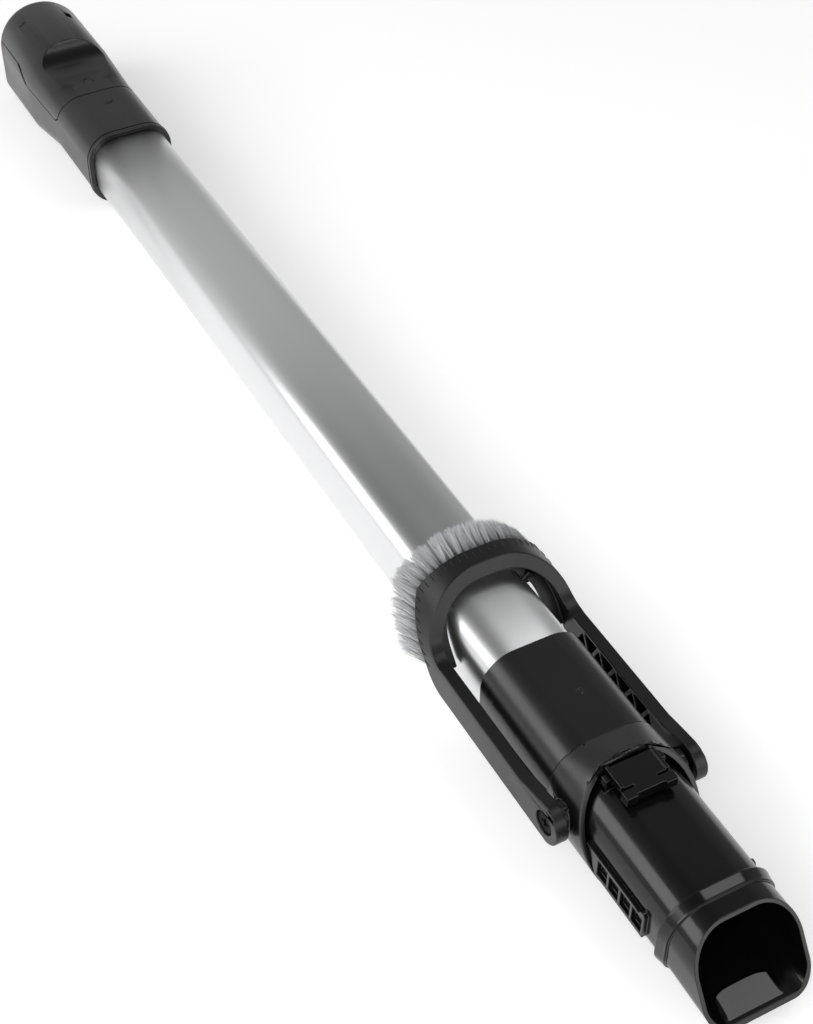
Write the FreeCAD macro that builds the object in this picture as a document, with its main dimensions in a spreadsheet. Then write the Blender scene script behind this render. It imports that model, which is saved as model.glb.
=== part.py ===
"""Telescopic vacuum wand with a flip-over dusting brush, as a parametric document.

The wand lies along X with its mouth towards +X, and is drawn about its own axis: stations along X are
counted from the centre of the mouth, heights from the wand's axis. Each sub-part's Placement then puts
the wand on its flats, with the origin under its middle.
"""
import FreeCAD
import Part
import Sketcher
import math
import os
import re

SIZES = {
    # Oval outer tube
    "tube_width": 39.0,
    "tube_height": 33.4,
    "tube_corner": 12.0,
    "tube_wall": 1.2,
    "tube_length": 468.0,
    # Oval inner tube, drawn out of the handle end
    "inner_width": 32.4,
    "inner_height": 26.8,
    "inner_corner": 9.5,
    "inner_wall": 1.0,
    "inner_length": 420.0,
    "glide_length": 14.0,
    "glide_clearance": 0.3,
    "seat_clearance": 0.05,
    # Height of the wand's axis above the surface it lies on
    "rest_height": 23.0,
    # Lower end
    "mouth_to_seam_length": 90.0,
    "sleeve_length": 49.0,
    "sleeve_wall": 2.1,
    "tube_setback": 8.0,
    "collar_flare": 0.4,
    "collar_loft": 14.0,
    "shroud_radius": 24.2,
    "shroud_wall": 2.2,
    "shroud_reach": 26.0,
    "shroud_slope": 0.6,
    "shroud_floor": 13.0,
    "spigot_half_width": 20.9,
    "spigot_top": 16.0,
    "spigot_bottom": 15.5,
    "spigot_corner": 14.5,
    "spigot_foot_radius": 9.0,
    "spigot_flare": 0.5,
    "spigot_wall": 1.7,
    "spigot_seat": 2.0,
    "mouth_slope": 0.66,
    "mouth_to_ring_length": 22.5,
    "ring_length": 5.0,
    "ring_rise": 1.0,
    "seam_to_rail_length": 61.0,
    "rail_gap": 0.8,
    "rail_half_width": 22.6,
    "rail_top": 2.0,
    "rail_height": 10.5,
    "rail_flange": 1.5,
    "rail_pocket_depth": 1.8,
    "rail_pockets": 4,
    "rail_rib": 1.3,
    "rail_knob_radius": 1.6,
    # Flip-over brush
    "seam_to_pivot_length": 12.0,
    "pivot_height": 2.0,
    "pivot_radius": 3.0,
    "pivot_clearance": 0.05,
    "thrust_radius": 5.6,
    "thrust_gap": 0.3,
    "arm_inner": 26.2,
    "arm_thickness": 5.2,
    "arm_skin": 1.6,
    "arm_below": 8.2,
    "arm_above": 5.3,
    "arm_end_radius": 8.5,
    "arm_length": 72.0,
    "bow_top": 26.2,
    "bow_corner": 22.0,
    "bow_length": 94.5,
    "bow_depth": 8.0,
    "bow_lean": 0.6,
    "bow_rear_lean": 0.88,
    "bow_fillet": 12.0,
    "bow_bend": 14.0,
    "flange_depth": 4.0,
    "flange_rise": 5.5,
    "hook_gap": 0.4,
    "hook_width": 4.0,
    "hook_rise": 4.4,
    "hook_depth": 6.0,
    "lattice_bays": 5,
    "lattice_rib": 1.3,
    "lattice_margin": 12.0,
    "recess_radius": 4.8,
    "recess_depth": 2.7,
    "head_radius": 4.2,
    "head_height": 1.9,
    "head_gap": 0.15,
    "head_slot": 1.1,
    "shank_radius": 1.5,
    "shank_length": 6.0,
    "strip_depth": 1.4,
    "strip_width": 3.4,
    "tuft_reach": 8.4,
    "tuft_flare": 6.2,
    "tuft_root_radius": 1.2,
    "tuft_tip_radius": 1.9,
    "tuft_pitch": 3.2,
    # Sprung tongue
    "seam_to_hinge_length": 17.5,
    "hinge_height": 18.7,
    "hinge_radius": 1.2,
    "hinge_clearance": 0.05,
    "barrel_radius": 2.1,
    "barrel_half": 9.8,
    "ear_gap": 0.3,
    "ear_thickness": 2.0,
    "ear_length": 3.2,
    "ear_rise": 2.0,
    "tongue_half": 9.8,
    "tongue_rear": 3.0,
    "tongue_front": 11.0,
    "tongue_under": 19.8,
    "tongue_thickness": 2.0,
    "tongue_rail": 0.8,
    "tongue_rail_width": 1.4,
    "tongue_bar": 3.0,
    "tongue_bar_drop": 2.2,
    "tongue_slit": 0.9,
    "tongue_slit_length": 5.0,
    "knuckle_radius": 2.0,
    "knuckle_offset": 8.0,
    "knuckle_length": 4.6,
    "seam_to_spring_length": 22.5,
    "latch_spring_radius": 2.0,
    "latch_spring_turns": 2.5,
    "latch_wire_radius": 0.35,
    # Handle end
    "housing_grip": 38.0,
    "housing_length": 132.0,
    "collar_length": 42.0,
    "collar_width": 43.6,
    "collar_height": 38.6,
    "collar_corner": 13.5,
    "lip_length": 2.4,
    "lip_rise": 0.3,
    "boss_half_width": 23.1,
    "boss_top": 27.4,
    "boss_bottom": 23.9,
    "boss_foot_radius": 12.0,
    "section_flat": 0.4,
    "boss_length": 47.5,
    "boss_loft": 32.0,
    "rim_length": 3.0,
    "rim_taper": 0.8,
    "seal_length": 4.0,
    "seal_gap": 0.15,
    "duct_clearance": 0.8,
    "scoop_radius": 12.4,
    "scoop_run": 16.0,
    "cover_wall": 1.8,
    "cover_crown": 3.0,
    "cover_gap": 0.4,
    "seam_gap": 0.35,
    "skirt_low": 4.0,
    "skirt_high": 10.5,
    "skirt_step_length": 11.0,
    "skirt_tip_rise": 2.5,
    "skirt_tip_back": 4.0,
    "core_wall": 1.5,
    "slider_travel": 3.0,
    "window_setback": 16.5,
    "window_offset": 12.5,
    "window_length": 5.0,
    "window_width": 3.4,
    # Brake, cam and spring under the slider
    "bush_length": 16.0,
    "bush_gap": 0.3,
    "bench_height": 17.3,
    "bench_half": 9.0,
    "cam_setback": 6.0,
    "cam_height": 19.6,
    "cam_rise": 0.9,
    "cam_rib_inner": 3.2,
    "cam_rib_outer": 5.2,
    "cam_rib_drop": 1.9,
    "cam_rib_roof": 3.3,
    "cam_wall": 2.0,
    "cam_end": 2.5,
    "peg_radius": 0.9,
    "peg_gap": 0.2,
    "peg_half_length": 5.6,
    "shoe_length": 8.0,
    "shoe_half_width": 5.0,
    "shoe_pad": 1.9,
    "shoe_gap": 0.15,
    "shoe_stem_half": 2.6,
    "shoe_crown": 1.3,
    "shoe_slot_gap": 0.25,
    "slider_spring_radius": 1.0,
    "slider_spring_turns": 6.0,
    "slider_wire_radius": 0.28,
    "spring_channel_half": 1.6,
    "spring_seat_length": 12.0,
    # Handle socket
    "socket_radius": 18.6,
    "socket_clearance": 0.5,
    "socket_bore_radius": 16.0,
    "socket_bore_length": 18.5,
    "socket_stop": 1.2,
    "socket_grip": 5.5,
    "socket_reach": 4.0,
}

# Stations and heights that follow from the sizes
SEAM = "(-mouth_to_seam_length)"
TUBE_FRONT = f"({SEAM} - tube_setback)"
TUBE_REAR = f"({TUBE_FRONT} - tube_length)"
SLEEVE_REAR = f"({SEAM} - sleeve_length)"
LIP = f"({TUBE_REAR} + housing_grip)"
FAR_END = f"({LIP} - housing_length)"
COVER_FRONT = f"({LIP} - collar_length)"
BOSS_FRONT = f"({FAR_END} + boss_length)"
LOFT_FRONT = f"({BOSS_FRONT} + boss_loft)"
SEAL_REAR = f"({TUBE_REAR} - seal_length)"
SOCKET_END = f"({FAR_END} - socket_reach)"
SOCKET_STOP_REAR = f"({SOCKET_END} + socket_bore_length)"
INNER_REAR = f"({SOCKET_STOP_REAR} + socket_stop)"
SOCKET_FRONT = f"({INNER_REAR} + socket_grip)"
INNER_FRONT = f"({INNER_REAR} + inner_length)"
BUSH_REAR = f"({SOCKET_FRONT} + socket_clearance)"
BUSH_FRONT = f"({BUSH_REAR} + bush_length)"
CORE_STEP = f"({BUSH_FRONT} + core_wall)"
SHOULDER = f"({CORE_STEP} + slider_travel + cover_gap)"
CAM = f"({BUSH_FRONT} - cam_setback)"
CAM_FRONT = f"({CAM} + slider_travel + cam_end)"
CAM_REAR = f"({CAM} - slider_travel)"
CAM_WALL_REAR = f"({CAM_REAR} - cam_wall)"
BENCH_FRONT = f"({CAM_FRONT} + cover_gap)"
BENCH_REAR = f"({CAM_WALL_REAR} - slider_travel - cover_gap)"
SPRING_SEAT = f"({BENCH_REAR} - spring_seat_length)"
MOUTH_TIP = "(mouth_slope * (spigot_bottom + spigot_flare))"
MOUTH_X = f"(-({MOUTH_TIP} + {SOCKET_END}) / 2)"
BORE_RADIUS = "(socket_radius + socket_clearance)"
ROOF = "(boss_top - cover_crown)"
INNER_TOP = "(inner_height / 2)"
SHOE_FOOT = f"({INNER_TOP} + shoe_gap)"
SPRING_HEIGHT = f"(({BORE_RADIUS} + {ROOF}) / 2)"
PIVOT = f"({SEAM} + seam_to_pivot_length)"
BOW_FRONT = f"({PIVOT} - bow_length)"
BOW_REAR = f"({BOW_FRONT} - bow_depth)"
ARM_FOOT = "(pivot_height - arm_below)"
ARM_TOP = "(pivot_height + arm_above)"
BEND = f"({PIVOT} - arm_length)"
BEND_HEIGHT = f"({ARM_FOOT} + bow_bend)"
REAR_SLANT = "sqrt(1 + bow_rear_lean^2)"
REAR_LOW = f"({BEND} - bow_bend / {REAR_SLANT})"
REAR_LOW_HEIGHT = f"({BEND_HEIGHT} - bow_bend * bow_rear_lean / {REAR_SLANT})"
REAR_KNEE_HEIGHT = f"({REAR_LOW_HEIGHT} + ({REAR_LOW} - {BOW_REAR}) / bow_rear_lean)"
CROWN = "(bow_top + arm_thickness)"
ARM_OUTER = "(arm_inner + arm_thickness)"
RECESS_FLOOR = f"({ARM_OUTER} - recess_depth)"
HEAD_SEAT = f"({RECESS_FLOOR} + head_gap)"
HINGE = f"({SEAM} + seam_to_hinge_length)"
EAR_INNER = "(tongue_half + ear_gap)"
EAR_OUTER = f"({EAR_INNER} + ear_thickness)"
FAR = "(2 * tube_length)"
WIDE = "(4 * collar_width)"

doc = FreeCAD.newDocument("vacuum_wand")
sheet = doc.addObject("Spreadsheet::Sheet", "Sizes")
for row, (alias, number) in enumerate(SIZES.items(), start=1):
    sheet.set(f"A{row}", alias)
    sheet.set(f"B{row}", str(number))
    sheet.setAlias(f"B{row}", alias)
doc.recompute()
ALIAS = re.compile(r"\b(" + "|".join(SIZES) + r")\b")


def size(expression):
    """The number that an expression in the sheet's aliases stands for, in millimetres."""
    return float(sheet.evalExpression(expression))


def bind(target, path, expression):
    """Ties one property of an object to an expression in the sheet's aliases."""
    target.setExpression(path, ALIAS.sub(r"Sizes.\1", expression))


def seat(target, x="0", y="0", z="0"):
    """Places a sub-part: station, offset and height from the wand's axis become the part's own frame."""
    bind(target, "Placement.Base.x", f"{MOUTH_X} + {x}")
    bind(target, "Placement.Base.y", y)
    bind(target, "Placement.Base.z", f"rest_height + {z}")


def new_body(label):
    """A PartDesign body that carries one sub-part."""
    part = doc.addObject("PartDesign::Body", label)
    part.Label = label
    seat(part)
    return part


def new_sketch(part, plane, offset="0"):
    """A sketch on one of the body's origin planes, moved along that plane's normal."""
    drawing = part.newObject("Sketcher::SketchObject", f"{part.Label}_sketch")
    support = next(item for item in part.Origin.OriginFeatures if item.Role == plane)
    drawing.AttachmentSupport = [(support, "")]
    drawing.MapMode = "FlatFace"
    bind(drawing, "AttachmentOffset.Base.z", offset)
    return drawing


def constrain(drawing, links):
    """Adds named distances from the sketch's origin and ties each to its expression."""
    start = drawing.ConstraintCount
    rules = []
    for kind, index, point, expression in links:
        if kind == "Radius":
            rules.append(Sketcher.Constraint(kind, index, size(expression)))
        else:
            rules.append(Sketcher.Constraint(kind, -1, 1, index, point, size(expression)))
        rules[-1].Name = f"rule{start + len(rules)}"
    drawing.addConstraint(rules)
    for rule, (kind, index, point, expression) in zip(rules, links):
        bind(drawing, f"Constraints.{rule.Name}", expression)


def trace(drawing, steps):
    """Draws one closed outline in a sketch.

    Each step is (u, v), a straight run to that point, or (u, v, cu, cv), an arc of less than half a turn
    to it about the centre (cu, cv). All of them are expressions, and the outline starts at the last point.
    """
    spots = [FreeCAD.Vector(size(step[0]), size(step[1]), 0) for step in steps]
    made = []
    joins = []
    links = []
    for count, step in enumerate(steps):
        begin = spots[count - 1]
        end = spots[count]
        if len(step) == 2:
            index = drawing.addGeometry(Part.LineSegment(begin, end))
            made.append((index, 1, 2))
        else:
            centre = FreeCAD.Vector(size(step[2]), size(step[3]), 0)
            first = begin - centre
            last = end - centre
            ahead = first.cross(last).z > 0
            start, stop = (first, last) if ahead else (last, first)
            circle = Part.Circle(centre, FreeCAD.Vector(0, 0, 1), start.Length)
            angles = (math.atan2(start.y, start.x), math.atan2(stop.y, stop.x))
            index = drawing.addGeometry(Part.ArcOfCircle(circle, *angles))
            made.append((index, 1, 2) if ahead else (index, 2, 1))
            chord = end - begin
            if abs(chord.y) > abs(chord.x):
                links.append(("DistanceX", index, 3, step[2]))
            else:
                links.append(("DistanceY", index, 3, step[3]))
        links.append(("DistanceX", index, made[-1][2], step[0]))
        links.append(("DistanceY", index, made[-1][2], step[1]))
    for before, after in zip(made[-1:] + made[:-1], made):
        joins.append(Sketcher.Constraint("Coincident", before[0], before[2], after[0], after[1]))
    drawing.addConstraint(joins)
    constrain(drawing, links)


def draw_rectangle(drawing, low_u, low_v, high_u, high_v):
    """Draws a rectangle between two corners."""
    trace(drawing, [(low_u, low_v), (high_u, low_v), (high_u, high_v), (low_u, high_v)])


def draw_oval(drawing, width, height, corner):
    """Draws the tube's kind of section: a rectangle with round corners, about the wand's axis."""
    half_w = f"({width}) / 2"
    half_h = f"({height}) / 2"
    in_w = f"({half_w} - ({corner}))"
    in_h = f"({half_h} - ({corner}))"
    trace(drawing, [
        (in_w, half_h),
        (half_w, in_h, in_w, in_h),
        (half_w, f"-{in_h}"),
        (in_w, f"-({half_h})", in_w, f"-{in_h}"),
        (f"-{in_w}", f"-({half_h})"),
        (f"-({half_w})", f"-{in_h}", f"-{in_w}", f"-{in_h}"),
        (f"-({half_w})", in_h),
        (f"-{in_w}", half_h, f"-{in_w}", in_h),
    ])


def draw_circle(drawing, radius, u="0", v="0"):
    """Draws a circle about a point."""
    centre = FreeCAD.Vector(size(u), size(v), 0)
    index = drawing.addGeometry(Part.Circle(centre, FreeCAD.Vector(0, 0, 1), size(radius)))
    constrain(drawing, [("Radius", index, 0, radius), ("DistanceX", index, 3, u), ("DistanceY", index, 3, v)])


def add_feature(part, kind, drawing, length, symmetric=False, reverse=False):
    """Adds a Pad or a Pocket of one sketch."""
    feature = part.newObject(f"PartDesign::{kind}", f"{part.Label}_{kind.lower()}")
    feature.Profile = drawing
    feature.SideType = "Symmetric" if symmetric else "One side"
    feature.Reversed = reverse
    bind(feature, "Length", length)
    part.Tip = feature
    return feature


def pad_span(part, rear, front, *draws):
    """Pads a section across the wand from one station forward to another."""
    drawing = new_sketch(part, "YZ_Plane", rear)
    for draw in draws:
        draw(drawing)
    return add_feature(part, "Pad", drawing, f"{front} - {rear}")


def cut_span(part, rear, front, *draws):
    """Cuts a section across the wand from one station forward to another."""
    drawing = new_sketch(part, "YZ_Plane", rear)
    for draw in draws:
        draw(drawing)
    return add_feature(part, "Pocket", drawing, f"{front} - {rear}", reverse=True)


def pad_side(part, width, *draws):
    """Pads a side view, drawn in stations and heights, evenly to both sides of the middle plane."""
    drawing = new_sketch(part, "XZ_Plane")
    for draw in draws:
        draw(drawing)
    return add_feature(part, "Pad", drawing, width, symmetric=True)


def cut_side(part, width, *draws):
    """Cuts a side view evenly to both sides of the middle plane."""
    drawing = new_sketch(part, "XZ_Plane")
    for draw in draws:
        draw(drawing)
    return add_feature(part, "Pocket", drawing, width, symmetric=True)


def keep_side(part, steps):
    """Cuts away everything outside a side view."""
    edge = f"(2 * {FAR})"
    return cut_side(part, WIDE, box(f"-{edge}", f"-{edge}", edge, edge), outline(steps))


def oval(width, height, corner):
    """A section function for the oval of given width, height and corner radius."""
    return lambda drawing: draw_oval(drawing, width, height, corner)


def grown(name, growth):
    """The oval called NAME_width, NAME_height and NAME_corner, grown outwards all round."""
    return oval(f"{name}_width + 2 * ({growth})", f"{name}_height + 2 * ({growth})", f"{name}_corner + ({growth})")


def disc(radius, u="0", v="0"):
    """A section function for a circle."""
    return lambda drawing: draw_circle(drawing, radius, u, v)


def box(low_u, low_v, high_u, high_v):
    """A section function for a rectangle."""
    return lambda drawing: draw_rectangle(drawing, low_u, low_v, high_u, high_v)


def outline(steps):
    """A section function for a traced outline."""
    return lambda drawing: trace(drawing, steps)


def loft_span(part, rear, rear_draw, front, front_draw):
    """Lofts from a section at one station forward to another section."""
    first = new_sketch(part, "YZ_Plane", rear)
    rear_draw(first)
    second = new_sketch(part, "YZ_Plane", front)
    front_draw(second)
    feature = part.newObject("PartDesign::AdditiveLoft", f"{part.Label}_loft")
    feature.Profile = first
    feature.Sections = [second]
    part.Tip = feature
    return feature


def flatten_underside(part):
    """Cuts the flat that the wand lies on."""
    cut_side(part, WIDE, box(f"-{FAR}", f"-{FAR}", FAR, "-rest_height"))


def vault(half, top, low, round_top, round_low):
    """A section function for straight sides between two upper and two lower round corners."""
    top_u = f"({half} - {round_top})"
    top_v = f"({top} - {round_top})"
    low_u = f"({half} - {round_low})"
    low_v = f"({round_low} - {low})"
    return outline([
        (top_u, top),
        (half, top_v, top_u, top_v),
        (half, low_v),
        (low_u, f"-{low}", low_u, low_v),
        (f"-{low_u}", f"-{low}"),
        (f"-{half}", low_v, f"-{low_u}", low_v),
        (f"-{half}", top_v),
        (f"-{top_u}", top, f"-{top_u}", top_v),
    ])


def boss_section(shrink="0", crown=None):
    """The handle end's section, shrunk all round: a round crown over straight sides and a rounder foot."""
    half = f"(boss_half_width - ({shrink}))"
    return vault(half, f"(boss_top - ({crown or shrink}))", f"(boss_bottom - ({shrink}))",
                 f"({half} - section_flat)", f"(boss_foot_radius - ({shrink}))")


def spigot_section(growth="0"):
    """The spigot's section, grown all round: wide round upper corners and tighter lower ones."""
    return vault(f"(spigot_half_width + {growth})", f"(spigot_top + {growth})", f"(spigot_bottom + {growth})",
                 f"(spigot_corner + {growth})", f"(spigot_foot_radius + {growth})")


def make_outer_tube():
    """Drawn aluminium tube."""
    part = new_body("outer_tube")
    pad_span(part, TUBE_REAR, TUBE_FRONT, grown("tube", "0"), grown("tube", "-tube_wall"))
    return part


def make_inner_tube():
    """Inner tube, which carries the handle socket and slides out of the handle end."""
    part = new_body("inner_tube")
    pad_span(part, INNER_REAR, INNER_FRONT, grown("inner", "0"), grown("inner", "-inner_wall"))
    return part


def make_inner_glide():
    """Ring that centres the inner tube's hidden end in the outer tube."""
    part = new_body("inner_glide")
    pad_span(part, f"({INNER_FRONT} - glide_length)", INNER_FRONT,
             grown("tube", "-tube_wall - glide_clearance"), grown("inner", "seat_clearance"))
    return part


def make_handle_socket():
    """Round socket on the inner tube's outer end."""
    part = new_body("handle_socket")
    pad_span(part, SOCKET_END, SOCKET_FRONT, disc("socket_radius"))
    cut_span(part, SOCKET_END, SOCKET_STOP_REAR, disc("socket_bore_radius"))
    cut_span(part, SOCKET_STOP_REAR, INNER_REAR, grown("inner", "-inner_wall"))
    cut_span(part, INNER_REAR, SOCKET_FRONT, grown("inner", "seat_clearance"))
    return part


def make_guide_bush():
    """Bush that guides the inner tube and holds the brake shoe upright."""
    part = new_body("guide_bush")
    pad_span(part, BUSH_REAR, BUSH_FRONT, disc(f"{BORE_RADIUS} - seat_clearance"), grown("inner", "bush_gap"))
    cut_side(part, "2 * bench_half", box(f"-{FAR}", "bench_height", FAR, FAR))
    half = "(shoe_length / 2 + shoe_slot_gap)"
    slot = new_sketch(part, "XY_Plane")
    draw_rectangle(slot, f"{CAM} - {half}", "-shoe_half_width - shoe_slot_gap",
                   f"{CAM} + {half}", "shoe_half_width + shoe_slot_gap")
    add_feature(part, "Pocket", slot, "bench_height", reverse=True)
    return part


def make_tube_seal():
    """Wiper ring between the end of the outer tube and the housing's shoulder."""
    part = new_body("tube_seal")
    pad_span(part, SEAL_REAR, TUBE_REAR, grown("tube", "0"), grown("inner", "seal_gap"))
    return part


def housing_form(part):
    """The handle end's whole outside: collar, round boss, the loft between them and the boss's eased rim."""
    rim = f"({FAR_END} + rim_length)"
    pad_span(part, LOFT_FRONT, LIP, grown("collar", "0"))
    loft_span(part, BOSS_FRONT, boss_section(), LOFT_FRONT, grown("collar", "0"))
    pad_span(part, rim, BOSS_FRONT, boss_section())
    loft_span(part, FAR_END, boss_section("rim_taper"), rim, boss_section())


def skirt_steps(rear, travel, gap):
    """Side view of the release slider from a rear station, with a travel behind its step and a seam gap."""
    step_front = f"({SHOULDER} - ({travel}))"
    step_rear = f"({step_front} - skirt_step_length)"
    front = f"({COVER_FRONT} - ({gap}))"
    low = f"(skirt_low + ({gap}))"
    high = f"(skirt_high + ({gap}))"
    return [
        (rear, FAR),
        (rear, high),
        (step_rear, high),
        (step_front, low),
        (f"{front} - 2 * skirt_tip_back", low),
        (f"{front} - skirt_tip_back", f"{low} + skirt_tip_rise"),
        (front, "collar_height / 2"),
        (front, FAR),
    ]


def make_housing_body():
    """Lower shell of the handle end, with the collar round the tube and the core under the slider."""
    part = new_body("housing_body")
    housing_form(part)
    cut_side(part, WIDE, outline(skirt_steps(f"(-{FAR})", "slider_travel + cover_gap", "0")))
    pad_span(part, CORE_STEP, COVER_FRONT, grown("collar", "-cover_wall - cover_gap"))
    pad_span(part, FAR_END, CORE_STEP, boss_section("cover_wall + cover_gap", "cover_crown + cover_gap"))
    pad_span(part, f"({LIP} - lip_length)", LIP, grown("collar", "lip_rise"))
    cut_span(part, SEAL_REAR, LIP, grown("tube", "seat_clearance"))
    cut_span(part, BUSH_FRONT, SEAL_REAR, grown("inner", "duct_clearance"))
    cut_span(part, FAR_END, BUSH_FRONT, disc(BORE_RADIUS))
    cut_side(part, "2 * bench_half", box(BENCH_REAR, "bench_height", BENCH_FRONT, FAR))
    cut_side(part, "2 * spring_channel_half", box(SPRING_SEAT, f"{BORE_RADIUS} + cover_gap", BENCH_REAR, FAR))
    flatten_underside(part)
    return part


def make_release_slider():
    """Top cover with the thumb scoop, which slides back and works the brake through two cam slots."""
    part = new_body("release_slider")
    housing_form(part)
    cut_span(part, SHOULDER, LIP, grown("collar", "-cover_wall"))
    cut_span(part, FAR_END, SHOULDER, boss_section("cover_wall", "cover_crown"))
    keep_side(part, skirt_steps(FAR_END, "0", "seam_gap"))
    rib_foot = "(cam_height - cam_rib_drop)"
    rib_head = f"({ROOF} + cover_crown / 2)"
    pad_side(part, "2 * cam_rib_outer", box(CAM_WALL_REAR, rib_foot, CAM_FRONT, rib_head))
    cut_side(part, "2 * cam_rib_inner", box(CAM_REAR, rib_foot, CAM_FRONT, "cam_height + cam_rib_roof"))
    half = "(peg_radius + peg_gap)"
    lean = "atan(cam_rise / slider_travel)"
    across_x = f"({half} * sin({lean}))"
    across_z = f"({half} * cos({lean}))"
    end_x = f"({CAM} + slider_travel)"
    end_z = "(cam_height + cam_rise)"
    slot = [
        (f"{CAM} - {across_x}", f"cam_height + {across_z}"),
        (f"{CAM} - {across_z}", f"cam_height - {across_x}", CAM, "cam_height"),
        (f"{CAM} + {across_x}", f"cam_height - {across_z}", CAM, "cam_height"),
        (f"{end_x} + {across_x}", f"{end_z} - {across_z}"),
        (f"{end_x} + {across_z}", f"{end_z} + {across_x}", end_x, end_z),
        (f"{end_x} - {across_x}", f"{end_z} + {across_z}", end_x, end_z),
    ]
    cut_side(part, "2 * cam_rib_outer + 2 * cam_wall", outline(slot))
    scoop_thumb(part)
    cut_windows(part)
    return part


def scoop_thumb(part):
    """Cuts the thumb scoop: a level pad across the cover, with a wall that curls up to the crown behind it."""
    floor = "(collar_height / 2)"
    foot = f"({SHOULDER} + scoop_run)"
    rear = f"({foot} - scoop_radius)"
    top = f"({floor} + scoop_radius)"
    cut_side(part, WIDE, outline([
        (LOFT_FRONT, floor),
        (LOFT_FRONT, FAR),
        (rear, FAR),
        (rear, top),
        (foot, floor, foot, top),
    ]))


def cut_windows(part):
    """Cuts the two catch windows near the far end."""
    drawing = new_sketch(part, "XY_Plane", "boss_half_width / 2")
    middle = f"({FAR_END} + window_setback)"
    for side in ("-", ""):
        inner = f"{side}(window_offset - window_width / 2)"
        outer = f"{side}(window_offset + window_width / 2)"
        draw_rectangle(drawing, f"{middle} - window_length / 2", inner, f"{middle} + window_length / 2", outer)
    add_feature(part, "Pocket", drawing, "boss_half_width", reverse=True)


def make_brake_shoe():
    """Shoe that grips the inner tube's top, with a stem between the slider's cam ribs."""
    part = new_body("brake_shoe")
    low = f"({CAM} - shoe_length / 2)"
    high = f"({CAM} + shoe_length / 2)"
    pad_side(part, "2 * shoe_half_width", box(low, SHOE_FOOT, high, f"{SHOE_FOOT} + shoe_pad"))
    stem = "(shoe_length / 4)"
    pad_side(part, "2 * shoe_stem_half", box(f"{CAM} - {stem}", SHOE_FOOT, f"{CAM} + {stem}", "cam_height + shoe_crown"))
    cut_side(part, "2 * shoe_half_width", disc("peg_radius + seat_clearance", CAM, "cam_height"))
    return part


def make_cylinder(label, radius, height):
    """A plain round pin or a step of one, along Z until it is turned."""
    part = doc.addObject("Part::Cylinder", label)
    part.Label = label
    bind(part, "Radius", radius)
    bind(part, "Height", height)
    return part


ALONG_Y = FreeCAD.Rotation(FreeCAD.Vector(1, 0, 0), -90)
AGAINST_Y = FreeCAD.Rotation(FreeCAD.Vector(1, 0, 0), 90)
ALONG_X = FreeCAD.Rotation(FreeCAD.Vector(0, 1, 0), 90)


def make_cross_pin(label, radius, half_length, station, height):
    """A pin across the wand."""
    pin = make_cylinder(label, radius, f"2 * ({half_length})")
    pin.Placement = FreeCAD.Placement(FreeCAD.Vector(), ALONG_Y)
    seat(pin, station, f"-({half_length})", height)
    return pin


def make_coil(label, radius, wire, length, turns, rotation):
    """A coil spring of square wire, swept along a helix whose wire just touches both seats."""
    helix = doc.addObject("Part::Helix", f"{label}_helix")
    run = f"({length} - 2 * {wire})"
    bind(helix, "Height", run)
    bind(helix, "Pitch", f"{run} / {turns}")
    bind(helix, "Radius", radius)
    ring = doc.addObject("Part::RegularPolygon", f"{label}_wire")
    ring.Polygon = 4
    bind(ring, "Circumradius", wire)
    ring.Placement = FreeCAD.Placement(FreeCAD.Vector(), AGAINST_Y)
    bind(ring, "Placement.Base.x", radius)
    coil = doc.addObject("Part::Sweep", label)
    coil.Label = label
    coil.Sections = [ring]
    doc.recompute()
    coil.Spine = (helix, [f"Edge{count + 1}" for count in range(len(helix.Shape.Edges))])
    coil.Solid = True
    coil.Frenet = True
    coil.Placement = FreeCAD.Placement(FreeCAD.Vector(), rotation)
    return coil


def make_slider_spring():
    """Coil that pushes the slider back to its rest, in the channel behind the cam wall."""
    length = f"({CAM_WALL_REAR} - {SPRING_SEAT})"
    coil = make_coil("slider_spring", "slider_spring_radius", "slider_wire_radius", length,
                     "slider_spring_turns", ALONG_X)
    seat(coil, f"{SPRING_SEAT} + slider_wire_radius", "0", SPRING_HEIGHT)
    return coil


def make_lower_sleeve():
    """Sleeve on the tube's lower end, with a step that the tube stops against."""
    part = new_body("lower_sleeve")
    pad_span(part, SLEEVE_REAR, SEAM, grown("tube", "sleeve_wall"))
    cut_span(part, SLEEVE_REAR, TUBE_FRONT, grown("tube", "seat_clearance"))
    cut_span(part, TUBE_FRONT, SEAM, grown("tube", "-tube_wall"))
    return part


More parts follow.
